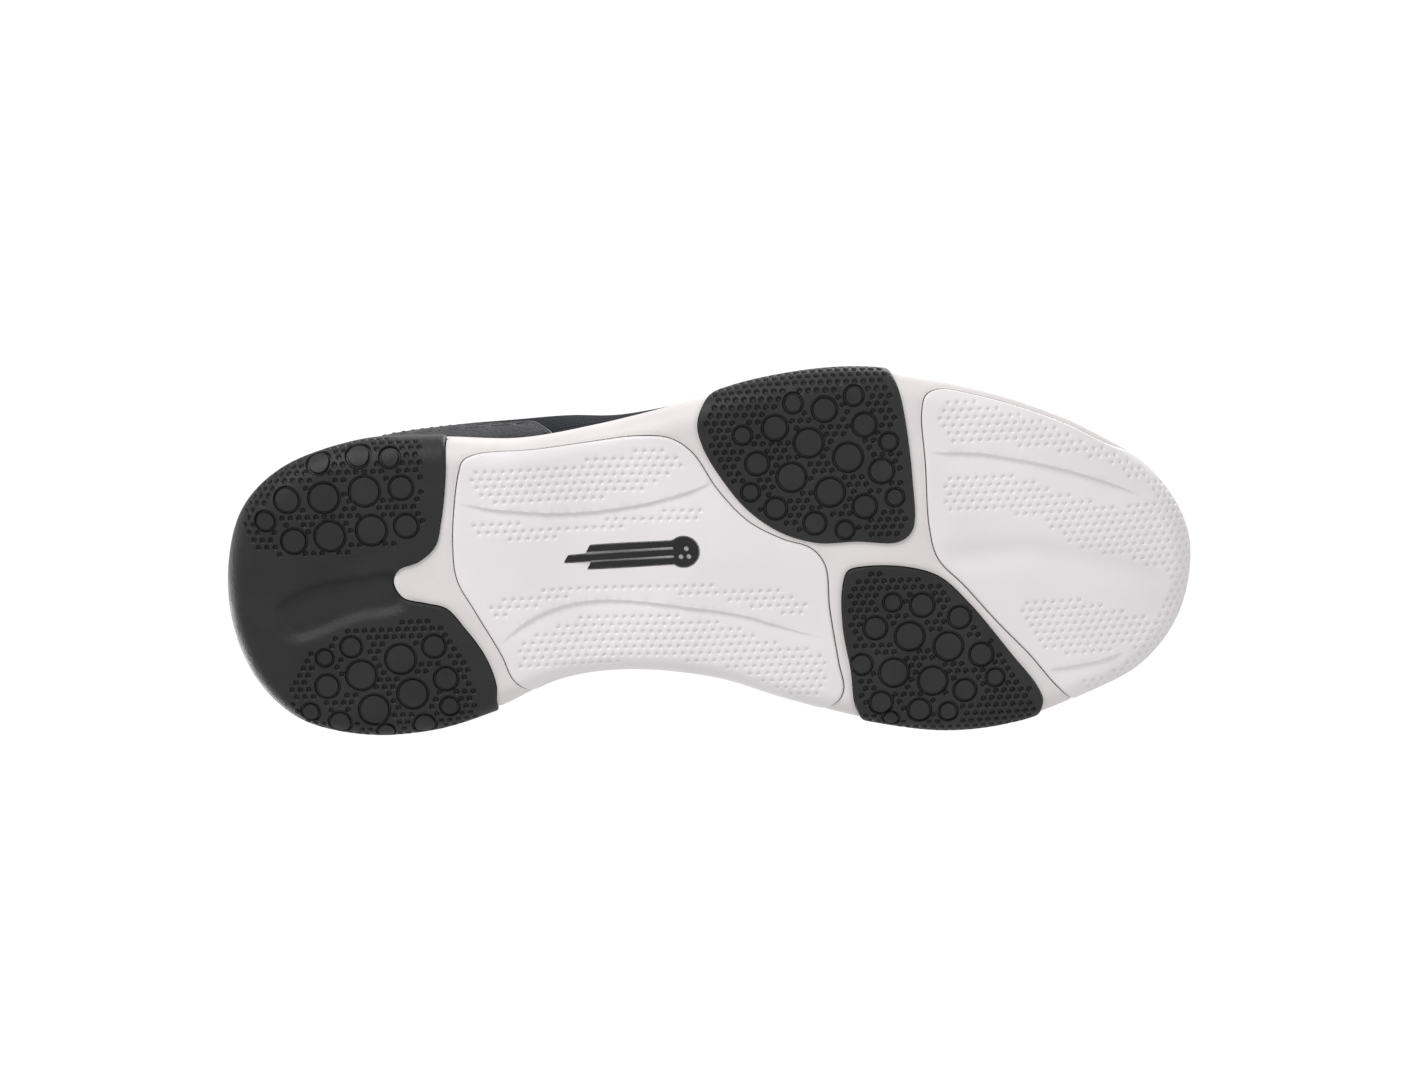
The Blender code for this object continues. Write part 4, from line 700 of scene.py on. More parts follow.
# Creases: the line, the side it falls to (+1 is left of its run), depth, and how far the fall runs out.
MIDFOOT_CREASES = [
    ([(-76, -20.8), (-61.6, -18.3), (-41.9, -16.6), (-22.2, -18.4), (-2.2, -23.7), (6, -27.5)], 1, 1.15, 3.6),
    ([(-66, 23.7), (-57.9, 17), (-47.9, 12.8), (-38, 11.2), (-23.2, 11.7), (-8.5, 13.7), (3.1, 15.6),
      (11.2, 17.5), (21.3, 21), (35.5, 25.7)], 1, 1.15, 3.8),
]
TOE_CREASES = [
    ([(68.3, -31.7), (81.6, -31.2), (94.8, -28.6), (110.1, -24.4), (125.3, -18.7), (135.3, -13.6)],
     1, 1.25, 4.0),
    ([(103.8, 38.1), (118.2, 36.5), (128.6, 34.2)], 1, 1.0, 3.2),
]
TOE_VALLEY = [(70, 3.2), (80, 1.6), (93.8, 0.8), (109.1, 3.4), (124.4, 7.6), (137.5, 13.6), (142.4, 19.5)]
HEEL_CHANNEL = [
    (-134.5, 10.5), (-130.5, 6.5), (-121.6, 3), (-109.1, 0.9), (-95, 0.6), (-93, 5.6), (-95, 11),
    (-109.5, 14), (-122.1, 18.6), (-129, 20.2), (-133.5, 17),
]
TOE_VALLEY_DEPTH = 1.15
TOE_VALLEY_WIDTH = 4.4
HEEL_CHANNEL_DEPTH = 2.1
HEEL_CHANNEL_SIDES = (-1.5, 2.6)
DISC_GROOVE = 0.95
# Dimples as (pitch, radius, depth), and how far they stay from edges, discs, creases and the emblem.
BLACK_DIMPLE = (2.6, 0.94, 0.95)
WHITE_DIMPLE = (2.72, 0.8, 0.62)
DIMPLE_MARGIN = 2.2
DISC_CLEAR = 1.35
CREASE_CLEAR = 1.6
BADGE_CLEAR = 1.5
BADGE_GAP = 0.3
BADGE_SEAT = 0.85
# Mesh rows round each feature: distances from a disc's rim, shares of a dimple's radius, and
# distances from a crease.
SHEET_PITCH = 1.15
DISC_RINGS = (-0.6, -0.35, -0.05, 0.4, 0.7, 1.0)
DIMPLE_RINGS = (0.5, 0.85, 1.12)
CREASE_ROWS = (-0.35, 0.0, 0.3, 0.6, 1.0)
EDGE_ROUND = 0.9
SEAM_SOFT = 0.28
WALL_GROOVE_REACH = 12.5
WALL_GROOVE_DEPTH = 0.45
# The rim of the midsole round the heel pad is dark above this height.
DARK_FROM = 7.5


def blended(x, low, high):
    """Smooth step from 0 at low to 1 at high."""
    f = np.clip((x - low) / (high - low), 0, 1)
    return f * f * (3 - 2 * f)


# ---------------------------------------------------------------- materials


class Look:
    """A Principled material and the short calls that wire its nodes."""

    def __init__(self, name, roughness=0.5, metallic=0.0, **fixed):
        self.made = bpy.data.materials.new(name)
        self.made.use_nodes = True
        self.tree = self.made.node_tree
        self.shader = self.tree.nodes["Principled BSDF"]
        self.shader.inputs["Roughness"].default_value = roughness
        self.shader.inputs["Metallic"].default_value = metallic
        for socket, value in fixed.items():
            self.shader.inputs[socket.replace("_", " ")].default_value = value
        self.coordinates = self.tree.nodes.new("ShaderNodeTexCoord").outputs["Object"]
        self.height = None

    def node(self, kind, links=(), **values):
        """A new node with its links and input values set."""
        made = self.tree.nodes.new(kind)
        for key, value in values.items():
            if hasattr(made, key):
                setattr(made, key, value)
            else:
                made.inputs[key.replace("_", " ")].default_value = value
        for socket, source in dict(links).items():
            self.tree.links.new(source, made.inputs[socket])
        return made

    def noise(self, scale, detail=3.0, roughness=0.55):
        """Even noise over the piece."""
        made = self.node("ShaderNodeTexNoise", {"Vector": self.coordinates}, Scale=scale, Detail=detail)
        made.inputs["Roughness"].default_value = roughness
        return made.outputs["Fac"]

    def cells(self, scale):
        """Soft cells, as the pebbles of a leather."""
        source = {"Vector": self.coordinates}
        return self.node("ShaderNodeTexVoronoi", source, feature="SMOOTH_F1", Scale=scale).outputs["Distance"]

    def flat(self):
        """The piece's own flat coordinates, in millimetres."""
        made = self.tree.nodes.new("ShaderNodeAttribute")
        made.attribute_name = "flat"
        return made.outputs["Vector"]

    def waves(self, vector, period, axis):
        """Sine bands of a period along one axis of the vector."""
        made = self.tree.nodes.new("ShaderNodeTexWave")
        made.wave_profile = "SIN"
        made.bands_direction = axis
        made.inputs["Scale"].default_value = 2 * math.pi / (20 * period)
        self.tree.links.new(vector, made.inputs["Vector"])
        return made.outputs["Fac"]

    def maths(self, kind, a, b):
        """A sum or product of two sockets or numbers."""
        made = self.tree.nodes.new("ShaderNodeMath")
        made.operation = kind
        for socket, value in zip(made.inputs, (a, b)):
            if isinstance(value, float):
                socket.default_value = value
            else:
                self.tree.links.new(value, socket)
        return made.outputs[0]

    def ramp(self, source, stops):
        """Colours at places along the source value."""
        made = self.tree.nodes.new("ShaderNodeValToRGB")
        ramp = made.color_ramp
        ramp.elements[0].position, ramp.elements[-1].position = stops[0][0], stops[-1][0]
        for place, _ in stops[1:-1]:
            ramp.elements.new(place)
        for element, (_, colour) in zip(ramp.elements, stops):
            element.color = (*colour, 1)
        self.tree.links.new(source, made.inputs["Fac"])
        return made.outputs["Color"]

    def colour(self, source):
        self.tree.links.new(source, self.shader.inputs["Base Color"])

    def rough(self, source, low, high):
        """Roughness from low to high along the source value."""
        made = self.node("ShaderNodeMapRange", {"Value": source}, To_Min=low, To_Max=high)
        self.tree.links.new(made.outputs["Result"], self.shader.inputs["Roughness"])

    def bump(self, source, distance, strength=1.0):
        """Adds a fine surface grain over the ones before it."""
        made = self.node("ShaderNodeBump", {"Height": source}, Strength=strength, Distance=distance)
        if self.height:
            self.tree.links.new(self.height, made.inputs["Normal"])
        self.height = made.outputs["Normal"]
        self.tree.links.new(self.height, self.shader.inputs["Normal"])

    def weave(self, period, distance, strength=0.8):
        """Crossed threads in the flat coordinates, as bump; returns their height."""
        flat = self.flat()
        across = self.waves(flat, period, "X")
        along = self.waves(flat, period * 0.8, "Y")
        threads = self.maths("MULTIPLY", across, along)
        self.bump(threads, distance, strength)
        return threads


def rubber_black():
    look = Look("rubber_black", 0.5, Specular_IOR_Level=0.42)
    patches = look.noise(45)
    look.colour(look.ramp(patches, [(0.3, (0.010, 0.0103, 0.0115)), (0.7, (0.019, 0.0193, 0.0210))]))
    look.rough(look.noise(160, 4), 0.4, 0.6)
    look.bump(look.noise(1500, 4, 0.7), 0.00018, 0.8)
    look.bump(look.noise(420, 2), 0.0003, 0.6)
    return look.made


def panel_white():
    look = Look("panel_white", 0.32, Specular_IOR_Level=0.45)
    soil = look.noise(30, 5)
    look.colour(look.ramp(soil, [(0.3, (0.83, 0.795, 0.812)), (0.65, (0.885, 0.848, 0.868))]))
    look.rough(look.noise(90, 4), 0.26, 0.42)
    look.bump(look.noise(1100, 3), 0.00006, 0.4)
    return look.made


def foam_white():
    """White foam; its heel rim is sprayed black where the attribute says so."""
    look = Look("foam_white", 0.5, Specular_IOR_Level=0.35)
    soil = look.noise(36, 5)
    white = look.ramp(soil, [(0.3, (0.75, 0.708, 0.703)), (0.7, (0.83, 0.79, 0.785))])
    mask = look.tree.nodes.new("ShaderNodeAttribute")
    mask.attribute_name = "dark"
    mix = look.tree.nodes.new("ShaderNodeMix")
    mix.data_type = "RGBA"
    look.tree.links.new(mask.outputs["Fac"], mix.inputs[0])
    look.tree.links.new(white, mix.inputs[6])
    mix.inputs[7].default_value = (0.016, 0.0165, 0.019, 1)
    look.colour(mix.outputs[2])
    look.rough(look.noise(120, 3), 0.42, 0.6)
    look.bump(look.noise(900, 4, 0.7), 0.0001, 0.5)
    return look.made


def leather():
    look = Look("leather_pebbled", 0.42, Specular_IOR_Level=0.3)
    tone = look.noise(60, 4)
    look.colour(look.ramp(tone, [(0.3, (0.022, 0.022, 0.026)), (0.7, (0.042, 0.042, 0.048))]))
    look.rough(look.noise(220, 4), 0.34, 0.55)
    look.bump(look.cells(780), 0.00035, 0.7)
    look.bump(look.noise(2200, 3), 0.00008, 0.5)
    return look.made


def knit():
    look = Look("knit_ribbed", 0.85, Specular_IOR_Level=0.15, Sheen_Weight=0.06, Sheen_Roughness=0.5)
    tone = look.noise(70, 4)
    look.colour(look.ramp(tone, [(0.3, (0.0055, 0.0062, 0.0105)), (0.7, (0.014, 0.0155, 0.024))]))
    threads = look.weave(0.85, 0.00025)
    look.rough(threads, 0.95, 0.7)
    look.bump(look.noise(1600, 3), 0.0001, 0.5)
    return look.made


def cloth(name, dark, light, period=0.7, sheen=0.3):
    look = Look(name, 0.9, Sheen_Weight=sheen, Sheen_Roughness=0.6)
    look.colour(look.ramp(look.noise(90, 4), [(0.3, dark), (0.7, light)]))
    threads = look.weave(period, 0.0002)
    look.rough(threads, 0.98, 0.8)
    look.bump(look.noise(1900, 4), 0.00012, 0.6)
    return look.made


def hard(name, dark, light, low, high, metallic=0.0, grain=600):
    look = Look(name, 0.5, metallic)
    look.colour(look.ramp(look.noise(80, 4), [(0.3, dark), (0.7, light)]))
    look.rough(look.noise(200, 4), low, high)
    look.bump(look.noise(grain, 3), 0.0001, 0.35)
    return look.made


RUBBER = rubber_black()
PANEL = panel_white()
FOAM = foam_white()
LEATHER = leather()
KNIT = knit()
LINING_CLOTH = cloth("lining_cloth", (0.028, 0.028, 0.033), (0.055, 0.055, 0.062), 0.8)
BED_CLOTH = cloth("footbed_cloth", (0.016, 0.016, 0.02), (0.034, 0.034, 0.04), 1.1)
WEBBING = cloth("webbing", (0.011, 0.011, 0.013), (0.024, 0.024, 0.028), 0.6, 0.2)
THREAD = cloth("thread", (0.05, 0.05, 0.056), (0.085, 0.085, 0.095), 0.35)
LABEL_CLOTH = cloth("label_cloth", (0.035, 0.037, 0.045), (0.07, 0.074, 0.085), 0.5)
METAL = hard("eyelet_enamel", (0.09, 0.09, 0.1), (0.16, 0.16, 0.175), 0.22, 0.4, 0.9, 1500)
EMBLEM = hard("emblem_gloss", (0.006, 0.006, 0.0065), (0.011, 0.011, 0.012), 0.14, 0.28)
STIFF = hard("stiffener_board", (0.24, 0.24, 0.26), (0.34, 0.34, 0.36), 0.45, 0.7)
BOARD = hard("lasting_fibre", (0.5, 0.43, 0.33), (0.68, 0.6, 0.48), 0.8, 0.95)


# ---------------------------------------------------------------- mesh helpers


def add_piece(name, points, faces, look, body, slot, nodes=(), flat=None, sharp=40):
    """A closed visible piece from points in millimetres, riding on a body and standing for CAD nodes."""
    mesh = bpy.data.meshes.new(name)
    mesh.from_pydata((np.asarray(points, float) * MM).tolist(), [], [list(map(int, f)) for f in faces])
    if flat is not None:
        attribute = mesh.attributes.new("flat", "FLOAT_VECTOR", "POINT")
        values = np.zeros((len(points), 3), np.float32)
        values[:, : np.asarray(flat).shape[1]] = flat
        attribute.data.foreach_set("vector", values.ravel())
    work = bmesh.new()
    work.from_mesh(mesh)
    bmesh.ops.remove_doubles(work, verts=work.verts, dist=1e-6)
    bmesh.ops.delete(work, geom=[v for v in work.verts if not v.link_faces], context="VERTS")
    bmesh.ops.recalc_face_normals(work, faces=work.faces)
    if work.calc_volume(signed=True) < 0:
        bmesh.ops.reverse_faces(work, faces=work.faces)
    work.to_mesh(mesh)
    work.free()
    mesh.shade_smooth()
    mesh.set_sharp_from_angle(angle=math.radians(sharp))
    mesh.materials.append(look)
    made = bpy.data.objects.new(name, mesh)
    bpy.context.collection.objects.link(made)
    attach(made, body)
    if nodes:
        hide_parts(*nodes)
    return made


def rings_of(loop, insets, outward=False):
    """Points on rings inside (or outside) a loop, dropped where they would cross it."""
    kept = []
    for inset in insets:
        ring = grown(loop, inset if outward else -inset)
        kept.append(ring[distance_to_loop(ring, loop) > inset * 0.93])
    return np.vstack(kept)


def honeycomb(low, high, pitch):
    """Points of a hexagonal grid over a plan box."""
    made = []
    for row, y in enumerate(np.arange(low[1], high[1], pitch * 0.866)):
        xs = np.arange(low[0] + pitch / 2 * (row % 2), high[0], pitch)
        made.append(np.column_stack([xs, np.full(len(xs), y)]))
    return np.vstack(made)


def grid_inside(loop, pitch, margin, box=None):
    """Hexagonal grid points inside the loop and further than margin from it."""
    low, high = box or (loop.min(0), loop.max(0))
    grid = honeycomb(low, high, pitch)
    grid = grid[inside_loop(grid, loop)]
    return grid[distance_to_loop(grid, loop) > margin]


def sheet_mesh(outline, inner, place, high, low, coarse=6.0):
    """A closed sheet: a fine upper face lifted by high(flat) and a coarse lower face at the lift low."""
    flat, triangles = triangulated([outline], inner)
    triangles = triangles[inside_loop(flat[triangles].mean(1), outline)]
    count = len(flat)
    base, cap = triangulated([outline], grid_inside(outline, coarse, coarse * 0.6))
    cap = cap[inside_loop(base[cap].mean(1), outline)]
    points = np.vstack([place(flat, high(flat)), place(base, np.full(len(base), float(low)))])
    faces = [tuple(t) for t in triangles] + [tuple(t[::-1] + count) for t in cap]
    rim = len(outline)
    for i in range(rim):
        j = (i + 1) % rim
        faces.append((i, j, j + count, i + count))
    return points, faces, np.vstack([flat, base])


# ---------------------------------------------------------------- sole


def fine_outlines():
    """Fine flat outline of each outsole piece."""
    lateral = skirt(LATERAL_PAD_SKIRT[1], LATERAL_PAD_SKIRT[0], LATERAL_PAD_SKIRT[2])
    outlines = {
        "heel_pad": HEEL_PAD_FRONT + skirt(*HEEL_PAD_SKIRT),
        "midfoot_panel": MIDFOOT_FRONT + skirt(*MIDFOOT_SKIRT) + MIDFOOT_BACK,
        "forefoot_pad_lateral": lateral + LATERAL_PAD_FRONT[::-1],
        "forefoot_pad_medial": MEDIAL_PAD_FRONT + skirt(*MEDIAL_PAD_SKIRT) + MEDIAL_PAD_BACK,
        "toe_panel": TOE_PANEL_SIDE + skirt(*TOE_PANEL_SKIRT) + TOE_PANEL_BACK,
    }
    return {name: curve(points, 0.8) for name, points in outlines.items()}


def dimple_centres(outline, zones, pitch, discs, creases):
    """Dimples of a hexagonal pattern that lie inside the zones and clear of discs and creases."""
    centres = grid_inside(outline, pitch, DIMPLE_MARGIN)
    keep = np.zeros(len(centres), bool)
    for zone in zones:
        keep |= inside_loop(centres, curve(zone, 2))
    for x, y, r in discs:
        keep &= np.hypot(centres[:, 0] - x, centres[:, 1] - y) > r + DISC_CLEAR
    for line in creases:
        keep &= distance_to_loop(centres, line, closed=False) > CREASE_CLEAR
    return centres[keep]


def circle_points(x, y, radii, count):
    """Circles of points round one centre."""
    turn = np.arange(count) * 2 * math.pi / count
    return [np.column_stack([x + r * np.cos(turn), y + r * np.sin(turn)]) for r in radii]


def crease_line(points):
    """The smooth plan line of a crease."""
    return curve(points, 0.8, closed=False)


def crease_relief(flat, line, side, depth, run):
    """A sharp fall on one side of the line that rises again over run, fading out at both ends."""
    step = np.diff(line, axis=0)
    tree = tree_of(line[:-1])
    found = [tree.find((p[0], p[1], 0)) for p in flat]
    nearest = np.array([f[1] for f in found])
    away = np.array([f[2] for f in found])
    offset = flat - line[nearest]
    cross = step[nearest, 0] * offset[:, 1] - step[nearest, 1] * offset[:, 0]
    sign = np.where(cross * side > 0, 1, -1)
    share = nearest / (len(line) - 2)
    fade = blended(share, -0.02, 0.12) * blended(1 - share, -0.02, 0.2)
    beyond = (nearest == 0) | (nearest == len(line) - 2)
    away_side = np.where(sign > 0, away, 0)
    fall = depth * blended(away_side, 0, 0.55) * np.exp(-away_side / run)
    swell = 0.12 * depth * np.exp(-away / 3) * (sign < 0)
    return (swell - fall) * fade * np.where(beyond, np.exp(-((away / 2) ** 2)), 1)


def outsole_points(outline, discs, dimples, radius, lines, badge):
    """Mesh points of an outsole piece: an even grid, and closer points round every feature."""
    def trimmed(row):
        row = row[inside_loop(row, outline)]
        return row[distance_to_loop(row, outline) > 1.0]

    grid = grid_inside(outline, SHEET_PITCH, 2.1)
    features = []
    for x, y, r in discs:
        grid = grid[np.abs(np.hypot(grid[:, 0] - x, grid[:, 1] - y) - r - 0.3) > 1.0]
        features += [trimmed(ring) for ring in circle_points(x, y, [r + away for away in DISC_RINGS], 44)]
    tree = tree_of(dimples)
    grid = grid[[tree.find((p[0], p[1], 0))[2] > radius + 0.35 for p in grid]]
    for x, y in dimples:
        features += circle_points(x, y, [0.02, *[radius * share for share in DIMPLE_RINGS]], 9)
    for line in lines:
        along = np.diff(line, axis=0)
        normal = np.column_stack([-along[:, 1], along[:, 0]]) / np.linalg.norm(along, axis=1, keepdims=True)
        features += [trimmed(line[:-1] + normal * gap) for gap in CREASE_ROWS]
        grid = grid[distance_to_loop(grid, line, closed=False) > 1.2]
    if badge is not None:
        features += [rings_of(badge, [0.15], outward=True), rings_of(badge, [0.12])]
        grid = grid[distance_to_loop(grid, badge) > 0.5]
    return np.vstack([rings_of(outline, [0.25, 0.55, 0.9, 1.5]), grid, *features])


def outsole(name, outline, look, slot, proud, thick, zones, dimple, discs=(), creases=(), badge=None):
    """One outsole piece with its discs, ring grooves, dimples and creases as real relief."""
    lines = [crease_line(c[0]) for c in creases]
    pitch, radius, depth = dimple
    dimples = dimple_centres(outline, zones, pitch, discs, lines)
    if badge is not None:
        dimples = dimples[distance_to_loop(dimples, badge) > BADGE_CLEAR]
    tree = tree_of(dimples)

    def high(flat):
        lift = np.full(len(flat), proud)
        edge = distance_to_loop(flat, outline)
        lift -= 0.6 * rounded(edge, EDGE_ROUND)
        for x, y, r in discs:
            away = np.hypot(flat[:, 0] - x, flat[:, 1] - y) - r
            lift -= DISC_GROOVE * blended(away, -0.35, -0.05) * (1 - blended(away, 0.4, 0.7))
        near = np.array([tree.find((p[0], p[1], 0))[2] for p in flat])
        lift -= depth * (1 - blended(near, radius * 0.42, radius * 1.05))
        for line, crease in zip(lines, creases):
            lift += crease_relief(flat, line, *crease[1:])
        if name == "toe_panel":
            away = distance_to_loop(flat, crease_line(TOE_VALLEY), closed=False)
            lift -= TOE_VALLEY_DEPTH * np.exp(-((away / TOE_VALLEY_WIDTH) ** 2)) * blended(edge, 0, 5)
        if name == "heel_pad":
            channel = curve(HEEL_CHANNEL, 1.5)
            deep = distance_to_loop(flat, channel) * np.where(inside_loop(flat, channel), 1, -1)
            lift -= HEEL_CHANNEL_DEPTH * blended(deep, *HEEL_CHANNEL_SIDES)
        if badge is not None:
            lift = np.where(inside_loop(flat, badge), proud - BADGE_SEAT, lift)
        return lift

    inner = outsole_points(outline, discs, dimples, radius, lines, badge)
    points, faces, flat = sheet_mesh(outline, inner, sole_place, high, proud - thick)
    add_piece(name + "_moulded", points, faces, look, "shoe", slot, [name], flat)


def badge_outline():
    """Outline of the ball emblem with its three bars, as in the CAD."""
    radius = BADGE_HEIGHT / 2
    centre = BADGE_LENGTH / 2 - radius
    start = math.radians(131)
    near = centre + radius * math.cos(start)
    outline = []
    for low, length in ((-0.75, 30.0), (-0.19, 37.0), (0.37, 30.0)):
        bottom, top = low * radius, (low + 0.38) * radius
        outline += [(near, bottom), (centre - length + 1.5, bottom), (centre - length, top), (near, top)]
    turns = np.linspace(start, -start, 24)[1:-1]
    outline += [(centre + radius * math.cos(a), radius * math.sin(a)) for a in turns]
    return badge_frame(np.array(outline)[::-1])


def split_loop(loop, step):
    """The loop with points added so that no side is longer than step."""
    made = []
    for a, b in zip(loop, np.roll(loop, -1, 0)):
        count = max(1, int(np.ceil(np.linalg.norm(b - a) / step)))
        made.append(np.linspace(a, b, count, endpoint=False))
    return np.vstack(made)


def frame_sheet(edge, seats):
    """Flat points and triangles of the underside of the frame, closer together round every seat."""
    grid = grid_inside(edge, 1.6, 2.2, ((-190, -100), (190, 100)))
    inner = [rings_of(edge, [0.35, 0.8, 1.5])]
    for name, loop in seats.items():
        near = distance_to_loop(grid, loop)
        grid = grid[(near > 1.5) & (~inside_loop(grid, loop) | (near < 6))]
        for ring in (rings_of(loop, [0.3, 0.75, 1.25], outward=True), rings_of(loop, [0.12, 4.0])):
            for other, fence in seats.items():
                if other != name:
                    ring = ring[(distance_to_loop(ring, fence) > 0.8) & ~inside_loop(ring, fence)]
            ring = ring[inside_loop(ring, edge)]
            inner.append(ring[distance_to_loop(ring, edge) > 0.5])
    flat, triangles = triangulated([edge, *seats.values()], np.vstack([*inner, grid]))
    return flat, triangles[inside_loop(flat[triangles].mean(1), edge)]


def frame_lift(flat, edge, seats):
    """Lift of the frame: sunk seats with softened seams, a rounded rim and a groove along the wall."""
    lift = np.zeros(len(flat))
    for name, loop in seats.items():
        near = distance_to_loop(flat, loop)
        inside = inside_loop(flat, loop) & (near > 0.02)
        depth = SEAT_GAP + (PANEL_THICK - PANEL_PROUD if "panel" in name else PAD_THICK - PAD_PROUD)
        soften = SEAM_SOFT * (1 - blended(near, 0, 1.25))
        lift -= np.where(inside, depth * blended(near, 0, 0.12), soften)
    lift -= 0.5 * rounded(distance_to_loop(flat, edge), EDGE_ROUND)
    below = -outline_place(flat)[1]
    groove = np.exp(-(((below - WALL_GROOVE_REACH) / 0.8) ** 2)) * blended(below, 4, 8)
    return lift - WALL_GROOVE_DEPTH * groove


def midsole_piece(outlines):
    """White frame and side wall with softened seams, and the cup above."""
    foot, normal, edge = wall_top_ring(420)
    seats = {name: grown(loop, SEAM_GAP) for name, loop in outlines.items()}
    flat, triangles = frame_sheet(edge, seats)
    points = sole_place(flat, frame_lift(flat, edge, seats))
    faces = [tuple(t) for t in triangles]
    count = len(edge)
    inset = cup_inset(foot[:, 0])
    top = through(foot[:, 0], RIM_HEIGHT)
    floor = through(foot[:, 0], CUP_FLOOR)
    rows = [np.column_stack([foot - normal * (inset + step)[:, None], height])
            for step, height in ((-0.5, top - 0.05), (0, top - 0.4), (0.3, floor))]
    chain = [np.arange(count), *[len(points) + k * count + np.arange(count) for k in range(len(rows))]]
    for low, high in zip(chain, chain[1:]):
        for i in range(count):
            j = (i + 1) % count
            faces.append((low[i], low[j], high[j], high[i]))
    points = np.vstack([points, *rows])
    cup = rows[-1][:, :2]
    cap, cap_faces = triangulated([cup], grid_inside(cup, 7.0, 3, ((-150, -60), (150, 60))))
    cap_faces = cap_faces[inside_loop(cap[cap_faces].mean(1), cup)]
    faces += [tuple(t + len(points)) for t in cap_faces]
    points = np.vstack([points, np.column_stack([cap, through(cap[:, 0], CUP_FLOOR)])])
    made = add_piece("midsole_frame", points, faces, FOAM, "shoe", "white_foam", ["midsole"])
    blacken_heel_rim(made.data)


def blacken_heel_rim(mesh):
    """Marks the rim beside and behind the heel pad as dark."""
    first, last = outline_index(HEEL_PAD_SKIRT[0]), outline_index(HEEL_PAD_SKIRT[1])
    co = np.empty(len(mesh.vertices) * 3)
    mesh.vertices.foreach_get("co", co)
    co = co.reshape(-1, 3) / MM
    place = outline_place(co[:, :2])[0]
    along = np.clip(np.minimum(place - first, last - place) * OUTLINE_PITCH, -9, 9)
    dark = blended(along, -0.6, 0.2) * (co[:, 2] > DARK_FROM)
    mesh.attributes.new("dark", "FLOAT", "POINT").data.foreach_set("value", dark.astype(np.float32))


def sole():
    """All five outsole pieces, the midsole and the emblem."""
    outlines = fine_outlines()
    badge = split_loop(grown(badge_outline(), BADGE_GAP), 0.8)
    pads = (RUBBER, "black_rubber", PAD_PROUD, PAD_THICK)
    panels = (PANEL, "white_rubber", PANEL_PROUD, PANEL_THICK)
    whole = [[(-200, -100), (200, -100), (200, 100), (-200, 100)]]
    black = {"heel_pad": (HEEL_ZONES, HEEL_DISCS), "forefoot_pad_lateral": (whole, LATERAL_DISCS),
             "forefoot_pad_medial": (whole, MEDIAL_DISCS)}
    for name, (zones, discs) in black.items():
        outsole(name, outlines[name], *pads, zones, BLACK_DIMPLE, discs)
    white = {"midfoot_panel": (MIDFOOT_ZONES, MIDFOOT_CREASES, badge),
             "toe_panel": (TOE_ZONES, TOE_CREASES, None)}
    for name, (zones, creases, recess) in white.items():
        outsole(name, outlines[name], *panels, zones, WHITE_DIMPLE, creases=creases, badge=recess)
    midsole_piece(outlines)
    repaint("sole_badge", EMBLEM)


def repaint(node, look):
    """Gives a carried CAD node its finished material."""
    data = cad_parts[node].data
    data.materials.clear()
    data.materials.append(look)


# ---------------------------------------------------------------- upper


KNIT_RIBS = 26
KNIT_STRETCH = 5.0
KNIT_RELIEF = 0.42
# Every patch of the upper stands back from its neighbours by this.
PATCH_GAP = 0.45
STITCH_INSET = 1.95
STITCH_PITCH = 2.7
STITCH_LENGTH = 1.8
STITCH_RADIUS = 0.33
PIPING_RADIUS = 1.25
PIPING_LIFT = -0.6
# Two rows of slits along the top of the heel overlay on the outer side, as height share and stations.
SLIT_ROWS = [(0.5, 26.0, 29.3), (0.44, 25.8, 29.0)]


def loop_area(loop):
    """Twice the signed area of a plan loop, above 0 where it runs anticlockwise."""
    x, y = loop.T
    return np.sum(x * np.roll(y, -1) - np.roll(x, -1) * y)


def flat_outline(corners, step):
    """A patch outline in flat millimetres, pulled in by the gap except on the toe ridge."""
    outline = split_loop(np.array(corners, float) * UPPER_SCALE, step)
    x, y = outline.T
    ridge = (y > UPPER_SCALE[1] - 1e-6) & (np.abs(x / UPPER_SCALE[0] - TOE_TIP_STATION) < 4.01)
    outline = grown(outline, -math.copysign(PATCH_GAP, loop_area(outline)))
    outline[ridge, 1] = UPPER_SCALE[1]
    return outline, ridge.any()


def two_sided(outline, holes, inner, low, high, stretch=1.0, weld=False):
    """A closed patch of the upper between two lift functions, meshed with its height axis stretched."""
    scale = np.array([1.0, stretch])
    flat, triangles = triangulated([loop * scale for loop in (outline, *holes)], inner * scale)
    flat = flat / scale
    centre = flat[triangles].mean(1)
    keep = inside_loop(centre, outline)
    for hole in holes:
        keep &= ~inside_loop(centre, hole)
    triangles = triangles[keep]
    if weld:
        placed = np.round(upper_place(flat, np.zeros(len(flat))), 3)
        _, first, index = np.unique(placed, axis=0, return_index=True, return_inverse=True)
        flat, triangles = flat[first], index.reshape(-1)[triangles]
        triangles = triangles[[len(set(t)) == 3 for t in triangles.tolist()]]
    count = len(flat)
    points = np.vstack([upper_place(flat, high(flat)), upper_place(flat, low(flat))])
    faces = [tuple(t) for t in triangles] + [tuple(t[::-1] + count) for t in triangles]
    for (a, b), users in edge_uses(triangles).items():
        if len(users) == 1:
            faces.append((a, b, b + count, a + count))
    return points, faces, np.vstack([flat, flat])


def level(lift):
    """A lift function that is the same everywhere."""
    return lambda flat: np.full(len(flat), float(lift))


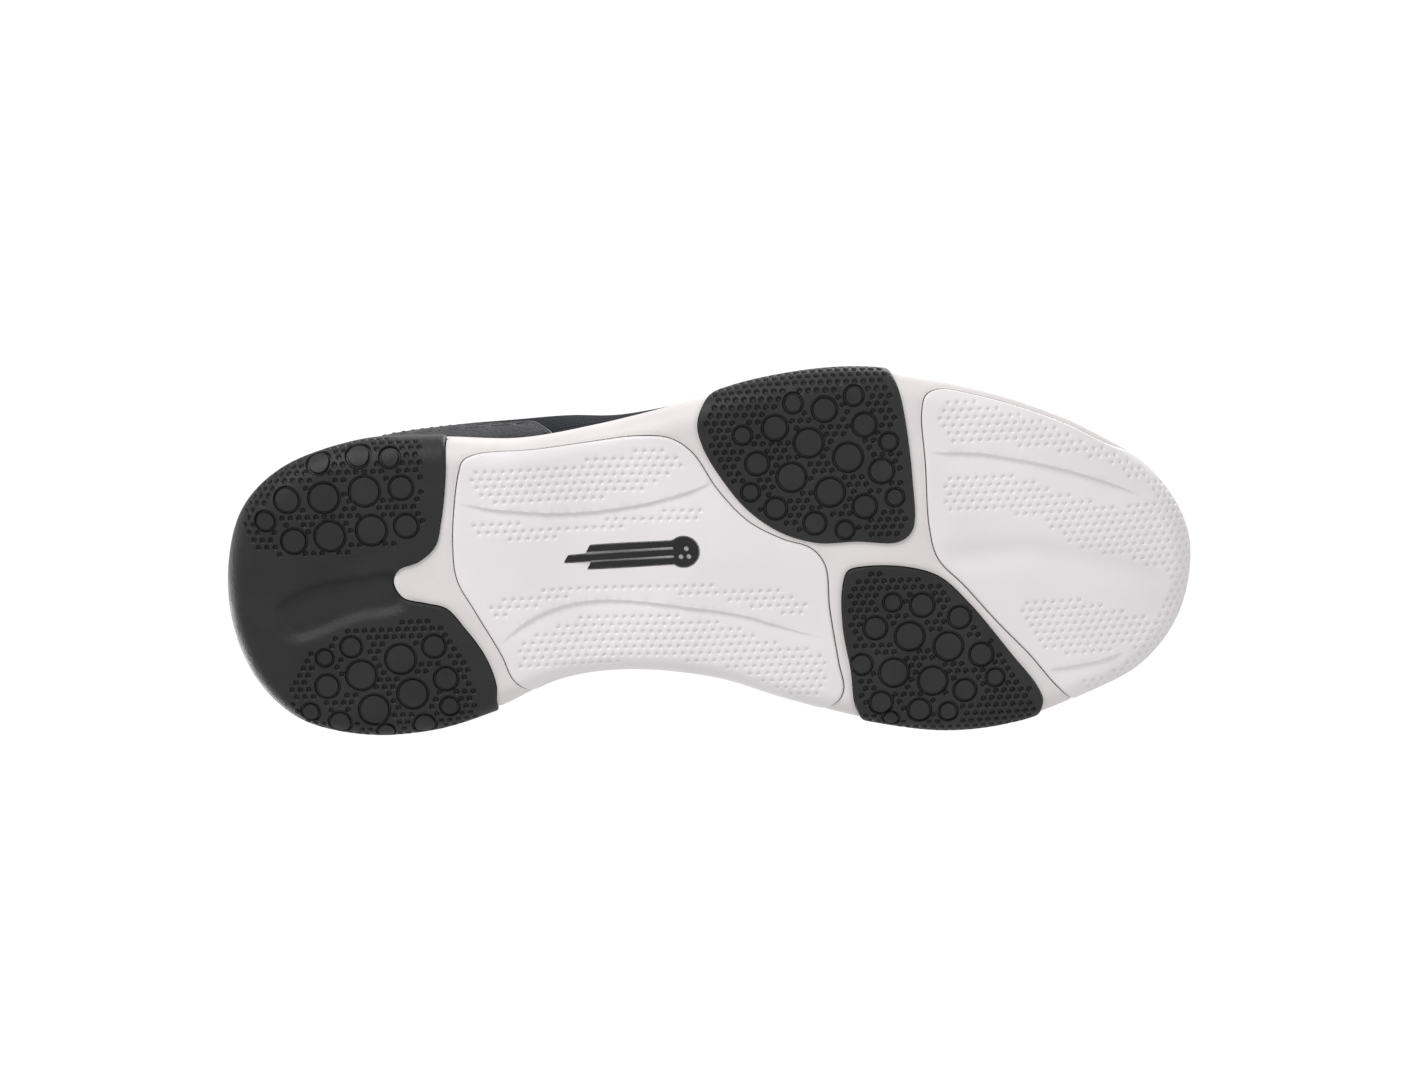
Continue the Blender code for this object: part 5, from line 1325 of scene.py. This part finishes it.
def knit_piece(name, corners, node):
    """Ribbed knit: rounded ribs that follow the height lines of the upper."""
    outline, weld = flat_outline(corners, 2.0)
    low, high = outline.min(0), outline.max(0)
    rib = UPPER_SCALE[1] / KNIT_RIBS
    rows = np.arange(0.25, KNIT_RIBS, 0.2) * rib
    grid = np.array([(x, y) for x in np.arange(low[0] + 1.3, high[0], 2.6) for y in rows])
    grid = clear_of(grid[inside_loop(grid, outline)], [outline], 0.45)

    def face(flat):
        ribs = np.abs(np.sin(np.pi * flat[:, 1] / rib)) ** 0.7
        shade = blended(flat[:, 1] / UPPER_SCALE[1], RIM_SHARE, RIM_SHARE + 0.06)
        edge = blended(distance_to_loop(flat, outline), 0, 1.6)
        near_ridge = np.abs(flat[:, 0] / UPPER_SCALE[0] - TOE_TIP_STATION) < 4.2
        ridge = 1 - blended(flat[:, 1], 59.5, 61.5) * near_ridge
        return KNIT_RELIEF * ribs * shade * edge * ridge - 0.12

    points, faces, flat = two_sided(outline, [], grid, level(SKIN_INNER), face, KNIT_STRETCH, weld)
    add_piece(name, points, faces, KNIT, "shoe", "knit", [node], flat, 60)


def leather_piece(name, corners, node, holes=(), slits=()):
    """Pebbled leather overlay with turned edges, a sunk stitch line and slits."""
    outline = flat_outline(corners, 1.4)[0]
    if loop_area(outline) < 0:
        outline = outline[::-1]
    grid = clear_of(grid_inside(outline, 1.7, 2.9), holes, 2.9)
    inner = [grid, rings_of(outline, [0.4, 0.9, 1.5, 1.9, 2.3])]
    for v, start, end in slits:
        for y in (-0.7, -0.4, 0.0, 0.4, 0.7):
            x = np.arange(start, end, 0.025) * UPPER_SCALE[0]
            inner.append(np.column_stack([x, np.full(len(x), v * UPPER_SCALE[1] + y)]))
    inner = np.vstack(inner)
    inner = inner[inside_loop(inner, outline)]
    inner = clear_of(inner, [outline], 0.3)
    inner = clear_of(inner, holes, 0.8)

    def face(flat):
        edge = distance_to_loop(flat, outline)
        lift = overlay_face(flat) - 0.45 * rounded(edge, EDGE_ROUND)
        lift -= 0.16 * np.exp(-(((edge - STITCH_INSET) / 0.35) ** 2))
        lift += 0.12 * np.sin(flat[:, 0] / 9) * np.sin(flat[:, 1] / 7) * blended(edge, 2, 8)
        for v, start, end in slits:
            share = flat[:, 0] / UPPER_SCALE[0]
            dash = blended(np.sin(flat[:, 0] * 2 * math.pi / 7.0), -0.75, -0.45)
            within = blended(share, start, start + 0.08) * blended(end - share, 0, 0.08)
            lift -= 0.75 * dash * within * np.exp(-((np.abs(flat[:, 1] - v * UPPER_SCALE[1]) / 0.42) ** 4))
        return lift

    points, faces, flat = two_sided(outline, list(holes), inner, level(SKIN_INNER), face)
    add_piece(name, points, faces, LEATHER, "shoe", "overlay_leather", [node], flat)
    return stitch_line(outline)


def stitch_line(outline):
    """Places for stitches along a line inside a patch outline, as pairs of flat points."""
    ring = grown(outline, -STITCH_INSET)
    ring = ring[distance_to_loop(ring, outline) > STITCH_INSET * 0.9]
    along = travelled(ring)
    made = []
    for at in np.arange(0, along[-1] - 3, STITCH_PITCH):
        ends = (at, at + STITCH_LENGTH)
        pair = np.array([[np.interp(end, along, ring[:, k]) for k in range(2)] for end in ends])
        if np.linalg.norm(pair[1] - pair[0]) < 2.2 and pair[:, 1].min() > (RIM_SHARE + 0.05) * UPPER_SCALE[1]:
            made.append(pair)
    return made


def capsules(pairs, radius, lift):
    """Small thread capsules between pairs of flat points of the upper."""
    ends = np.array(pairs).reshape(-1, 2)
    centre = upper_place(ends, np.full(len(ends), lift)).reshape(-1, 2, 3)
    out = shared_normal(ends[:, 0] / UPPER_SCALE[0], ends[:, 1] / UPPER_SCALE[1]).reshape(-1, 2, 3)[:, 0]
    points, faces = [], []
    profile = [(-0.25, 0.05), (0.0, 0.75), (0.3, 1.0), (0.7, 1.0), (1.0, 0.75), (1.25, 0.05)]
    for (a, b), normal in zip(centre, out):
        along = b - a
        side = np.cross(normal, along)
        side /= max(np.linalg.norm(side), 1e-9)
        start = len(points)
        for share, wide in profile:
            share = 0.5 + (share - 0.5) * 0.85
            sink = -0.35 * (2 * share - 1) ** 2
            for k in range(6):
                turn = k * math.pi / 3
                points.append(a + along * share + side * radius * wide * math.cos(turn)
                              + normal * (radius * wide * math.sin(turn) + sink))
        faces += [tuple(start + v for v in face) for face in capped_loft(len(profile), 6)]
    return points, faces


def frames_along(centre):
    """Two steady cross directions at each point of a line."""
    tangent = np.gradient(centre, axis=0)
    tangent /= np.linalg.norm(tangent, axis=1, keepdims=True)
    first = np.cross(tangent[0], (0, 0, 1.0))
    first = first / np.linalg.norm(first) if np.linalg.norm(first) > 0.1 else np.array([1.0, 0, 0])
    sides = []
    for t in tangent:
        first = first - t * (first @ t)
        first /= np.linalg.norm(first)
        sides.append((first, np.cross(t, first)))
    return sides


def tube(name, centre, radius, look, body, slot, sides=12, nodes=(), relief=None):
    """A capped tube along a line, with an optional relief of its radius."""
    points, flat = [], []
    along = travelled(centre)
    turns = np.arange(sides) * 2 * math.pi / sides
    last = len(centre) - 1
    for i, (p, (a, b)) in enumerate(zip(centre, frames_along(centre))):
        end = min(i, last - i)
        shrink = (0.45, 0.8, 0.95)[end] if end < 3 else 1.0
        size = radius * shrink * (relief(along[i], turns) if relief else np.ones(sides))
        points += list(p + np.outer(np.cos(turns) * size, a) + np.outer(np.sin(turns) * size, b))
        flat += [(along[i], t * radius) for t in turns]
    add_piece(name, points, capped_loft(len(centre), sides), look, body, slot, nodes, np.array(flat))


def upper():
    """Knit and leather patches of the upper, their stitches and the piping."""
    base, notch = (9.6, 0.0), (9.55, 0.1)
    cap = [base, (STATION_COUNT - base[0], 0), *reversed(TOE_CAP_TOP)]
    stitches = leather_piece("toe_cap_leather", cap, "toe_cap")
    ridge = [(THROAT_STATION, 1.0), (TOE_TIP_STATION, 1.0), (STATION_COUNT - THROAT_STATION, 1.0)]
    rise = [*VAMP_BREAK, (10.95, 0.97)]
    vamp = [*TOE_CAP_TOP, *[(STATION_COUNT - t, v) for t, v in rise], *reversed(ridge), *reversed(rise)]
    knit_piece("vamp_knit", vamp, "vamp")
    counter = [*COUNTER_FRONT, *[(-t, v) for t, v in reversed(COUNTER_FRONT)]]
    slits = [(v, a - STATION_COUNT, b - STATION_COUNT) for v, a, b in SLIT_ROWS]
    stitches += leather_piece("heel_counter_leather", counter, "heel_counter_cover", slits=slits)
    tab = [(-TAB_HALF, COUNTER_TOP), (TAB_HALF, COUNTER_TOP), (TAB_HALF, 1), (-TAB_HALF, 1)]
    stitches += leather_piece("heel_tab_leather", tab, "heel_tab")
    quarter = [COUNTER_FRONT[0], base, notch, TOE_CAP_TOP[0], *VAMP_BREAK, *EYESTAY_BACK,
               (TAB_HALF, 1), (TAB_HALF, COUNTER_TOP), *reversed(COUNTER_FRONT[1:])]
    eyestay = [EYESTAY_BACK[0], VAMP_BREAK[1], (10.93, 0.99), EYESTAY_BACK[1]]
    for suffix, turn in (("medial", list), ("lateral", other_side)):
        knit_piece("quarter_knit_" + suffix, turn(quarter), "quarter_" + suffix)
        stations = EYELET_STATIONS if suffix == "medial" else [STATION_COUNT - t for t in EYELET_STATIONS]
        holes = [skin_circle(t, EYELET_OUTER - 0.3, 24) for t in stations]
        stitches += leather_piece("eyestay_leather_" + suffix, turn(eyestay), "eyestay_" + suffix, holes)
    points, faces = capsules(stitches, STITCH_RADIUS, OVERLAY_PROUD - 0.02)
    add_piece("stitching", points, faces, THREAD, "shoe", "lace", flat=np.array(points)[:, :2])
    edge = np.arange(-5.85, 5.86, 0.06)
    path = np.column_stack([edge, np.full(len(edge), 1.0)]) * UPPER_SCALE
    centre = upper_place(path, np.full(len(path), PIPING_LIFT))
    tube("topline_piping", centre, PIPING_RADIUS, LEATHER, "shoe", "overlay_leather")


# ---------------------------------------------------------------- linings, padding and lacing


# Linings, as corners in (station, height share).
FRONT_LINING = [
    (9.0, 0.012), (21.0, 0.012), (20.5, 0.5), (19.5, 0.58), (18.9, 0.8), (18.5, 1), (15, 1), (11.5, 1),
    (11.1, 0.8), (10.5, 0.58), (9.5, 0.5),
]
BACK_LINING = [
    (-9.0, 0.012), (9.0, 0.012), (9.5, 0.6), (6.4, 0.56), (5.4, 0.54), (-5.4, 0.54), (-6.4, 0.56),
    (-9.5, 0.6),
]
# Collar: its last station, height shares, lift of its hidden back, and height of its rolled top.
COLLAR_END = 5.5
COLLAR_SHARES = (0.585, 0.97)
COLLAR_TOP_SHARE = 0.985
COLLAR_BACK = -2.2
COLLAR_ROLL = 1.9
COLLAR_SEAM_SHARE = 0.78
COLLAR_SEAM_DEPTH = 0.55
# Tongue: sections along it, and its sewn channels as distances along its line.
TONGUE_SECTIONS = 90
TONGUE_CHANNELS = (52, 63, 74, 85)
CHANNEL_DEPTH = 0.9
LABEL_SECTIONS = 161
LABEL_ROWS = (120, 152)
# Eyelet section as (radius, height over the skin), round from the bottom of its bore.
EYELET_PROFILE = [
    (EYELET_INNER, -1.9), (EYELET_OUTER - 0.65, -1.9), (EYELET_OUTER - 0.65, 1.45),
    (EYELET_OUTER + 0.3, 1.25), (EYELET_OUTER + 0.55, 1.4), (EYELET_OUTER + 0.5, 1.75),
    (EYELET_OUTER + 0.1, 2.1), (EYELET_OUTER - 0.45, 2.2), (EYELET_OUTER - 0.9, 2.0), (EYELET_INNER, 1.5),
]
EYELET_SIDES = 32
BRAID_PITCH = 2.6
BRAID_RELIEF = 0.07
PULL_TAB_SECTIONS = 96


def linings():
    """Cloth linings of the front and of the heel."""
    for node, corners in (("vamp_lining", FRONT_LINING), ("heel_lining", BACK_LINING)):
        outline, weld = flat_outline(corners, 2.4)
        grid = grid_inside(outline, 3.0, 1.2)
        points, faces, flat = two_sided(outline, [], grid, level(LINING[0]), level(LINING[1]), weld=weld)
        add_piece(node + "_cloth", points, faces, LINING_CLOTH, "shoe", "lining", [node], flat)


def collar():
    """Padded collar: a crowned face towards the foot with a sewn seam, a rolled top and a flat back."""
    low, high = COLLAR_SHARES
    face, back = np.linspace(low, high, 16), np.linspace(high, low, 10)
    roll = np.linspace(0, math.pi, 9)[1:-1]
    v = np.concatenate([face, np.full(len(roll), COLLAR_TOP_SHARE), back])
    stations = np.arange(-COLLAR_END, COLLAR_END + 0.001, 0.1)
    points, flat = [], []
    for t in stations:
        end = blended(COLLAR_END - abs(t), 0, 0.5)
        base = np.column_stack([np.full(len(v), t), v]) * UPPER_SCALE
        foot = foam_depth(base) - 2.0 - 0.35 * np.sin(np.pi * np.clip((v - low) / (high - low), 0, 1))
        foot = foot[: len(face)]
        middle, reach = (foot[-1] + COLLAR_BACK) / 2, (COLLAR_BACK - foot[-1]) / 2
        seam = COLLAR_SEAM_DEPTH * np.exp(-(((face - COLLAR_SEAM_SHARE) / 0.018) ** 2)) * end
        lift = np.concatenate([foot + seam, middle - reach * np.cos(roll), np.full(len(back), COLLAR_BACK)])
        lift = COLLAR_BACK + (lift - COLLAR_BACK) * (0.35 + 0.65 * end)
        rows = upper_place(base, lift)
        rows[len(face) : -len(back), 2] += COLLAR_ROLL * np.sin(roll)
        points += list(rows)
        flat += list(np.column_stack([base[:, 0], base[:, 1] + lift]))
    faces = capped_loft(len(stations), len(v))
    made = add_piece("collar_padding", points, faces, LINING_CLOTH, "shoe", "lining",
                     ["collar_pad", "collar_lining"], np.array(flat), 70)


def footbed():
    """Cushion with a rounded rim, dished under the heel and raised under the arch."""
    outline = split_loop(inner_loop(CUP_GAP - LINING[0] + 0.9, 240), 1.2)
    inner = np.vstack([grid_inside(outline, 2.4, 2.6), rings_of(outline, [0.4, 1.0, 1.8])])

    def face(flat):
        edge = distance_to_loop(flat, outline)
        lift = FOOTBED_BASE + FOOTBED_THICK - 1.3 * rounded(edge, 1.8)
        dish = blended(edge, 2, 22) * (0.9 * blended(-flat[:, 0], 40, 110) + 0.35)
        arch = 0.6 * np.exp(-(((flat[:, 0] + 20) / 34) ** 2)) * blended(flat[:, 1], 8, 32)
        return lift - dish + arch * blended(edge, 0.5, 4)

    points, faces, flat = sheet_mesh(outline, inner, level_place(CUP_FLOOR), face, FOOTBED_BASE)
    made = add_piece("footbed_cushion", points, faces, BED_CLOTH, "footbed", "footbed", ["footbed"], flat, 60)


def tongue():
    """Padded tongue with sewn channels across it and ribs along it."""
    x, z, normal, half, thick, arch = tongue_sections(TONGUE_SECTIONS)
    shares = np.sin(np.linspace(-1, 1, 29) * math.pi / 2)
    line = travelled(np.column_stack([x, z]))
    points, flat = [], []
    for k in range(len(x)):
        section = (x[k], z[k], normal[k], half[k], arch[k])
        end = min(1.0, (len(x) - 1 - k) / 5, k / 3 + 0.4)
        crown = math.sqrt(1 - (1 - max(end, 0.0)) ** 2) * 0.6 + 0.4
        channel = sum(math.exp(-(((line[k] - at) / 1.1) ** 2)) for at in TONGUE_CHANNELS)
        padded = thick[k] > 3.5
        for s in shares:
            side = (1 - abs(s) ** 5) ** 0.5
            rib = 0.16 * abs(math.sin(math.pi * s * half[k] / 2.3)) * side
            sunk = thick[k] * 0.5 * (1 - side * crown) + min(channel, 1) * CHANNEL_DEPTH * side * padded - rib
            points.append(tongue_point(section, s, max(sunk, -0.1)))
            flat.append((s * half[k], line[k]))
        for s in shares[::-1]:
            side = (1 - abs(s) ** 5) ** 0.5
            swell = 0.35 * side * padded * (1 - min(channel, 1) * 1.2)
            deep = thick[k] * (0.5 + 0.5 * side * crown) + swell * (k < len(x) - 4) - 0.3
            points.append(tongue_point(section, s, max(deep, 0.5 * thick[k] + 0.05)))
            flat.append((s * half[k], line[k] + 200))
    faces = capped_loft(len(x), 2 * len(shares))
    made = add_piece("tongue_padding", points, faces, KNIT, "tongue", "knit", ["tongue"], np.array(flat), 80)


def tongue_label():
    """Blank woven label near the top of the tongue, with a raised border."""
    x, z, normal, half, _, arch = tongue_sections(LABEL_SECTIONS)
    first, last = LABEL_ROWS
    across = np.linspace(-0.5, 0.5, 25)
    points, flat = [], []
    for k in range(first, last + 1):
        section = (x[k], z[k], normal[k], half[k], arch[k])
        rim = min(k - first, last - k) * 0.7
        for s in across:
            border = min(rim, (0.5 - abs(s)) * half[k])
            raised = 0.22 * math.exp(-(((border - 1.4) / 0.5) ** 2)) - 0.2 * max(0, 1 - border / 0.6)
            points.append(tongue_point(section, s, -1.0 - raised))
        points += [tongue_point(section, s, -0.5) for s in across[::-1]]
        flat += [(s * half[k], k * 0.7) for s in (*across, *across[::-1])]
    faces = capped_loft(last - first + 1, 2 * len(across))
    add_piece("tongue_label_woven", points, faces, LABEL_CLOTH, "tongue", "lining", ["tongue_label"],
              np.array(flat), 50)


def lace():
    """Braided lace through all the eyelets."""
    def braid(at, turns):
        wind = at * 2 * math.pi / BRAID_PITCH
        return 1 + BRAID_RELIEF * np.maximum(np.sin(turns * 2 + wind), np.sin(turns * 2 - wind))

    centre = curve(lace_route(), 0.45, closed=False)
    tube("lace_braided", centre, LACE_RADIUS, WEBBING, "shoe", "lace", 16, ["lace"], braid)


def eyelets():
    """Rolled metal rings in both eyestays."""
    for row, medial in enumerate(EYELET_STATIONS, 1):
        for suffix, t in (("medial", medial), ("lateral", STATION_COUNT - medial)):
            middle, axis = eyelet_frame(t)
            across = np.cross(axis, (0, 0, 1.0))
            across /= np.linalg.norm(across)
            beside = np.cross(axis, across)
            points = []
            for k in range(EYELET_SIDES):
                turn = 2 * math.pi * k / EYELET_SIDES
                arm = across * math.cos(turn) + beside * math.sin(turn)
                points += [middle + arm * r + axis * h for r, h in EYELET_PROFILE]
            faces = loft_faces(EYELET_SIDES, len(EYELET_PROFILE), closed=True)
            add_piece(f"eyelet_ring_{suffix}_{row}", points, faces, METAL, "shoe", "eyelet",
                      [f"eyelet_{suffix}_{row}"], sharp=60)


def pull_tab():
    """Loop of ribbed webbing with a sewn bar above its foot."""
    half = PULL_TAB_WIDTH / 2
    across = np.linspace(-1, 1, 23)
    middle = np.array(PULL_TAB_CENTRE)
    points, flat = [], []
    for k in range(PULL_TAB_SECTIONS):
        turn = 2 * math.pi * k / PULL_TAB_SECTIONS
        bar = math.exp(-(((math.cos(turn) + 0.72) / 0.05) ** 2))
        for inner in (False, True):
            for y in across[::-1] if inner else across:
                ribs = 0.1 * abs(math.sin(y * math.pi * 4.5)) - 0.28 * abs(y) ** 8 - 0.22 * bar
                inset = PULL_TAB_STRIP - 0.1 + ribs if inner else 0.1 - ribs
                out = (PULL_TAB_RADII[0] - inset) * math.sin(turn)
                up = (PULL_TAB_RADII[1] - inset) * math.cos(turn)
                points.append(middle + (out, y * half, up))
                flat.append((k * 0.6, y * half))
    faces = loft_faces(PULL_TAB_SECTIONS, 2 * len(across), closed=True)
    add_piece("pull_tab_webbing", points, faces, WEBBING, "pull_tab", "lace", ["pull_tab"],
              np.array(flat), 50)


def hidden_stiffeners():
    """Finished materials for the stiff CAD nodes inside the shoe."""
    for node in ("heel_counter_stiffener", "toe_puff", "shank_plate"):
        repaint(node, STIFF)
    repaint("lasting_board", BOARD)


# ---------------------------------------------------------------- camera and stage


CAMERA_TILT = math.radians(11)
CAMERA_ROLL = math.radians(-2)
CAMERA_AIM = (0.0001, -0.0094, 0)
CAMERA_DISTANCE = 1.027
CAMERA_LENS = 85
FLOOR_HALF = 3
FLOOR_LEVEL = -0.0006
# Strength of the white surroundings on the object, and as the camera sees them.
WORLD_LIGHT = 0.66
WORLD_SEEN = 1.05
# Lamps: place in metres, energy and size.
LAMPS = {
    "key_below": ((-0.45, -0.85, -0.45), 5, 0.4),
    "fill_below": ((0.6, 0.5, -0.9), 1.2, 0.9),
    "key_above": ((0.5, -0.7, 1.0), 11, 0.7),
    "rim_above": ((-0.8, 0.5, 0.8), 8, 0.6),
}
LAMP_TARGET = (0, 0, 0.03)


def camera():
    """Looks up at the sole, a little from the outer side, turned two degrees."""
    forward = Vector((0, math.sin(CAMERA_TILT), math.cos(CAMERA_TILT)))
    down = Vector((0, math.cos(CAMERA_TILT), -math.sin(CAMERA_TILT)))
    right = Vector((1, 0, 0)) * math.cos(CAMERA_ROLL) - down * math.sin(CAMERA_ROLL)
    turned_down = Vector((1, 0, 0)) * math.sin(CAMERA_ROLL) + down * math.cos(CAMERA_ROLL)
    data = bpy.data.cameras.new("camera")
    data.lens = CAMERA_LENS
    data.clip_start = 0.05
    made = bpy.data.objects.new("camera", data)
    columns = Matrix((right, -turned_down, -forward)).transposed()
    made.matrix_world = Matrix.Translation(Vector(CAMERA_AIM) - forward * CAMERA_DISTANCE) @ columns.to_4x4()
    bpy.context.collection.objects.link(made)
    bpy.context.scene.camera = made


def area_light(name, where, energy, size):
    """A soft lamp that points at the shoe."""
    data = bpy.data.lights.new(name, "AREA")
    data.energy = energy
    data.size = size
    made = bpy.data.objects.new(name, data)
    made.location = where
    made.rotation_euler = (Vector(where) - Vector(LAMP_TARGET)).to_track_quat("Z", "Y").to_euler()
    made.visible_camera = False
    bpy.context.collection.objects.link(made)


def mix_shaders(tree, share, first, second, output):
    """Shows the first shader where share is 0 and the second where it is 1."""
    mix = tree.nodes.new("ShaderNodeMixShader")
    for socket, source in zip(mix.inputs, (share, first, second)):
        tree.links.new(source, socket)
    tree.links.new(mix.outputs[0], tree.nodes[output].inputs["Surface"])


def stage():
    """Pale floor seen only from above, white surroundings and soft lamps all round."""
    mesh = bpy.data.meshes.new("floor")
    corners = [(-1, -1), (1, -1), (1, 1), (-1, 1)]
    mesh.from_pydata([(x * FLOOR_HALF, y * FLOOR_HALF, FLOOR_LEVEL) for x, y in corners], [], [(0, 1, 2, 3)])
    look = bpy.data.materials.new("floor")
    look.use_nodes = True
    tree = look.node_tree
    shader = tree.nodes["Principled BSDF"]
    shader.inputs["Base Color"].default_value = (0.82, 0.82, 0.82, 1)
    shader.inputs["Roughness"].default_value = 0.9
    clear = tree.nodes.new("ShaderNodeBsdfTransparent")
    side = tree.nodes.new("ShaderNodeNewGeometry")
    mix_shaders(tree, side.outputs["Backfacing"], shader.outputs[0], clear.outputs[0], "Material Output")
    mesh.materials.append(look)
    floor = bpy.data.objects.new("floor", mesh)
    for ray in ("diffuse", "glossy", "transmission", "shadow"):
        setattr(floor, "visible_" + ray, False)
    bpy.context.collection.objects.link(floor)
    world = bpy.data.worlds.new("studio")
    bpy.context.scene.world = world
    world.use_nodes = True
    nodes = world.node_tree.nodes
    soft, seen = nodes["Background"], nodes.new("ShaderNodeBackground")
    for shader, strength in ((soft, WORLD_LIGHT), (seen, WORLD_SEEN)):
        shader.inputs["Color"].default_value = (1, 1, 1, 1)
        shader.inputs["Strength"].default_value = strength
    path = nodes.new("ShaderNodeLightPath")
    share = path.outputs["Is Camera Ray"]
    mix_shaders(world.node_tree, share, soft.outputs[0], seen.outputs[0], "World Output")
    for name, lamp in LAMPS.items():
        area_light(name, *lamp)
    bpy.context.scene.view_settings.view_transform = "Standard"


camera()
stage()
sole()
upper()
linings()
collar()
footbed()
tongue()
tongue_label()
lace()
eyelets()
pull_tab()
hidden_stiffeners()
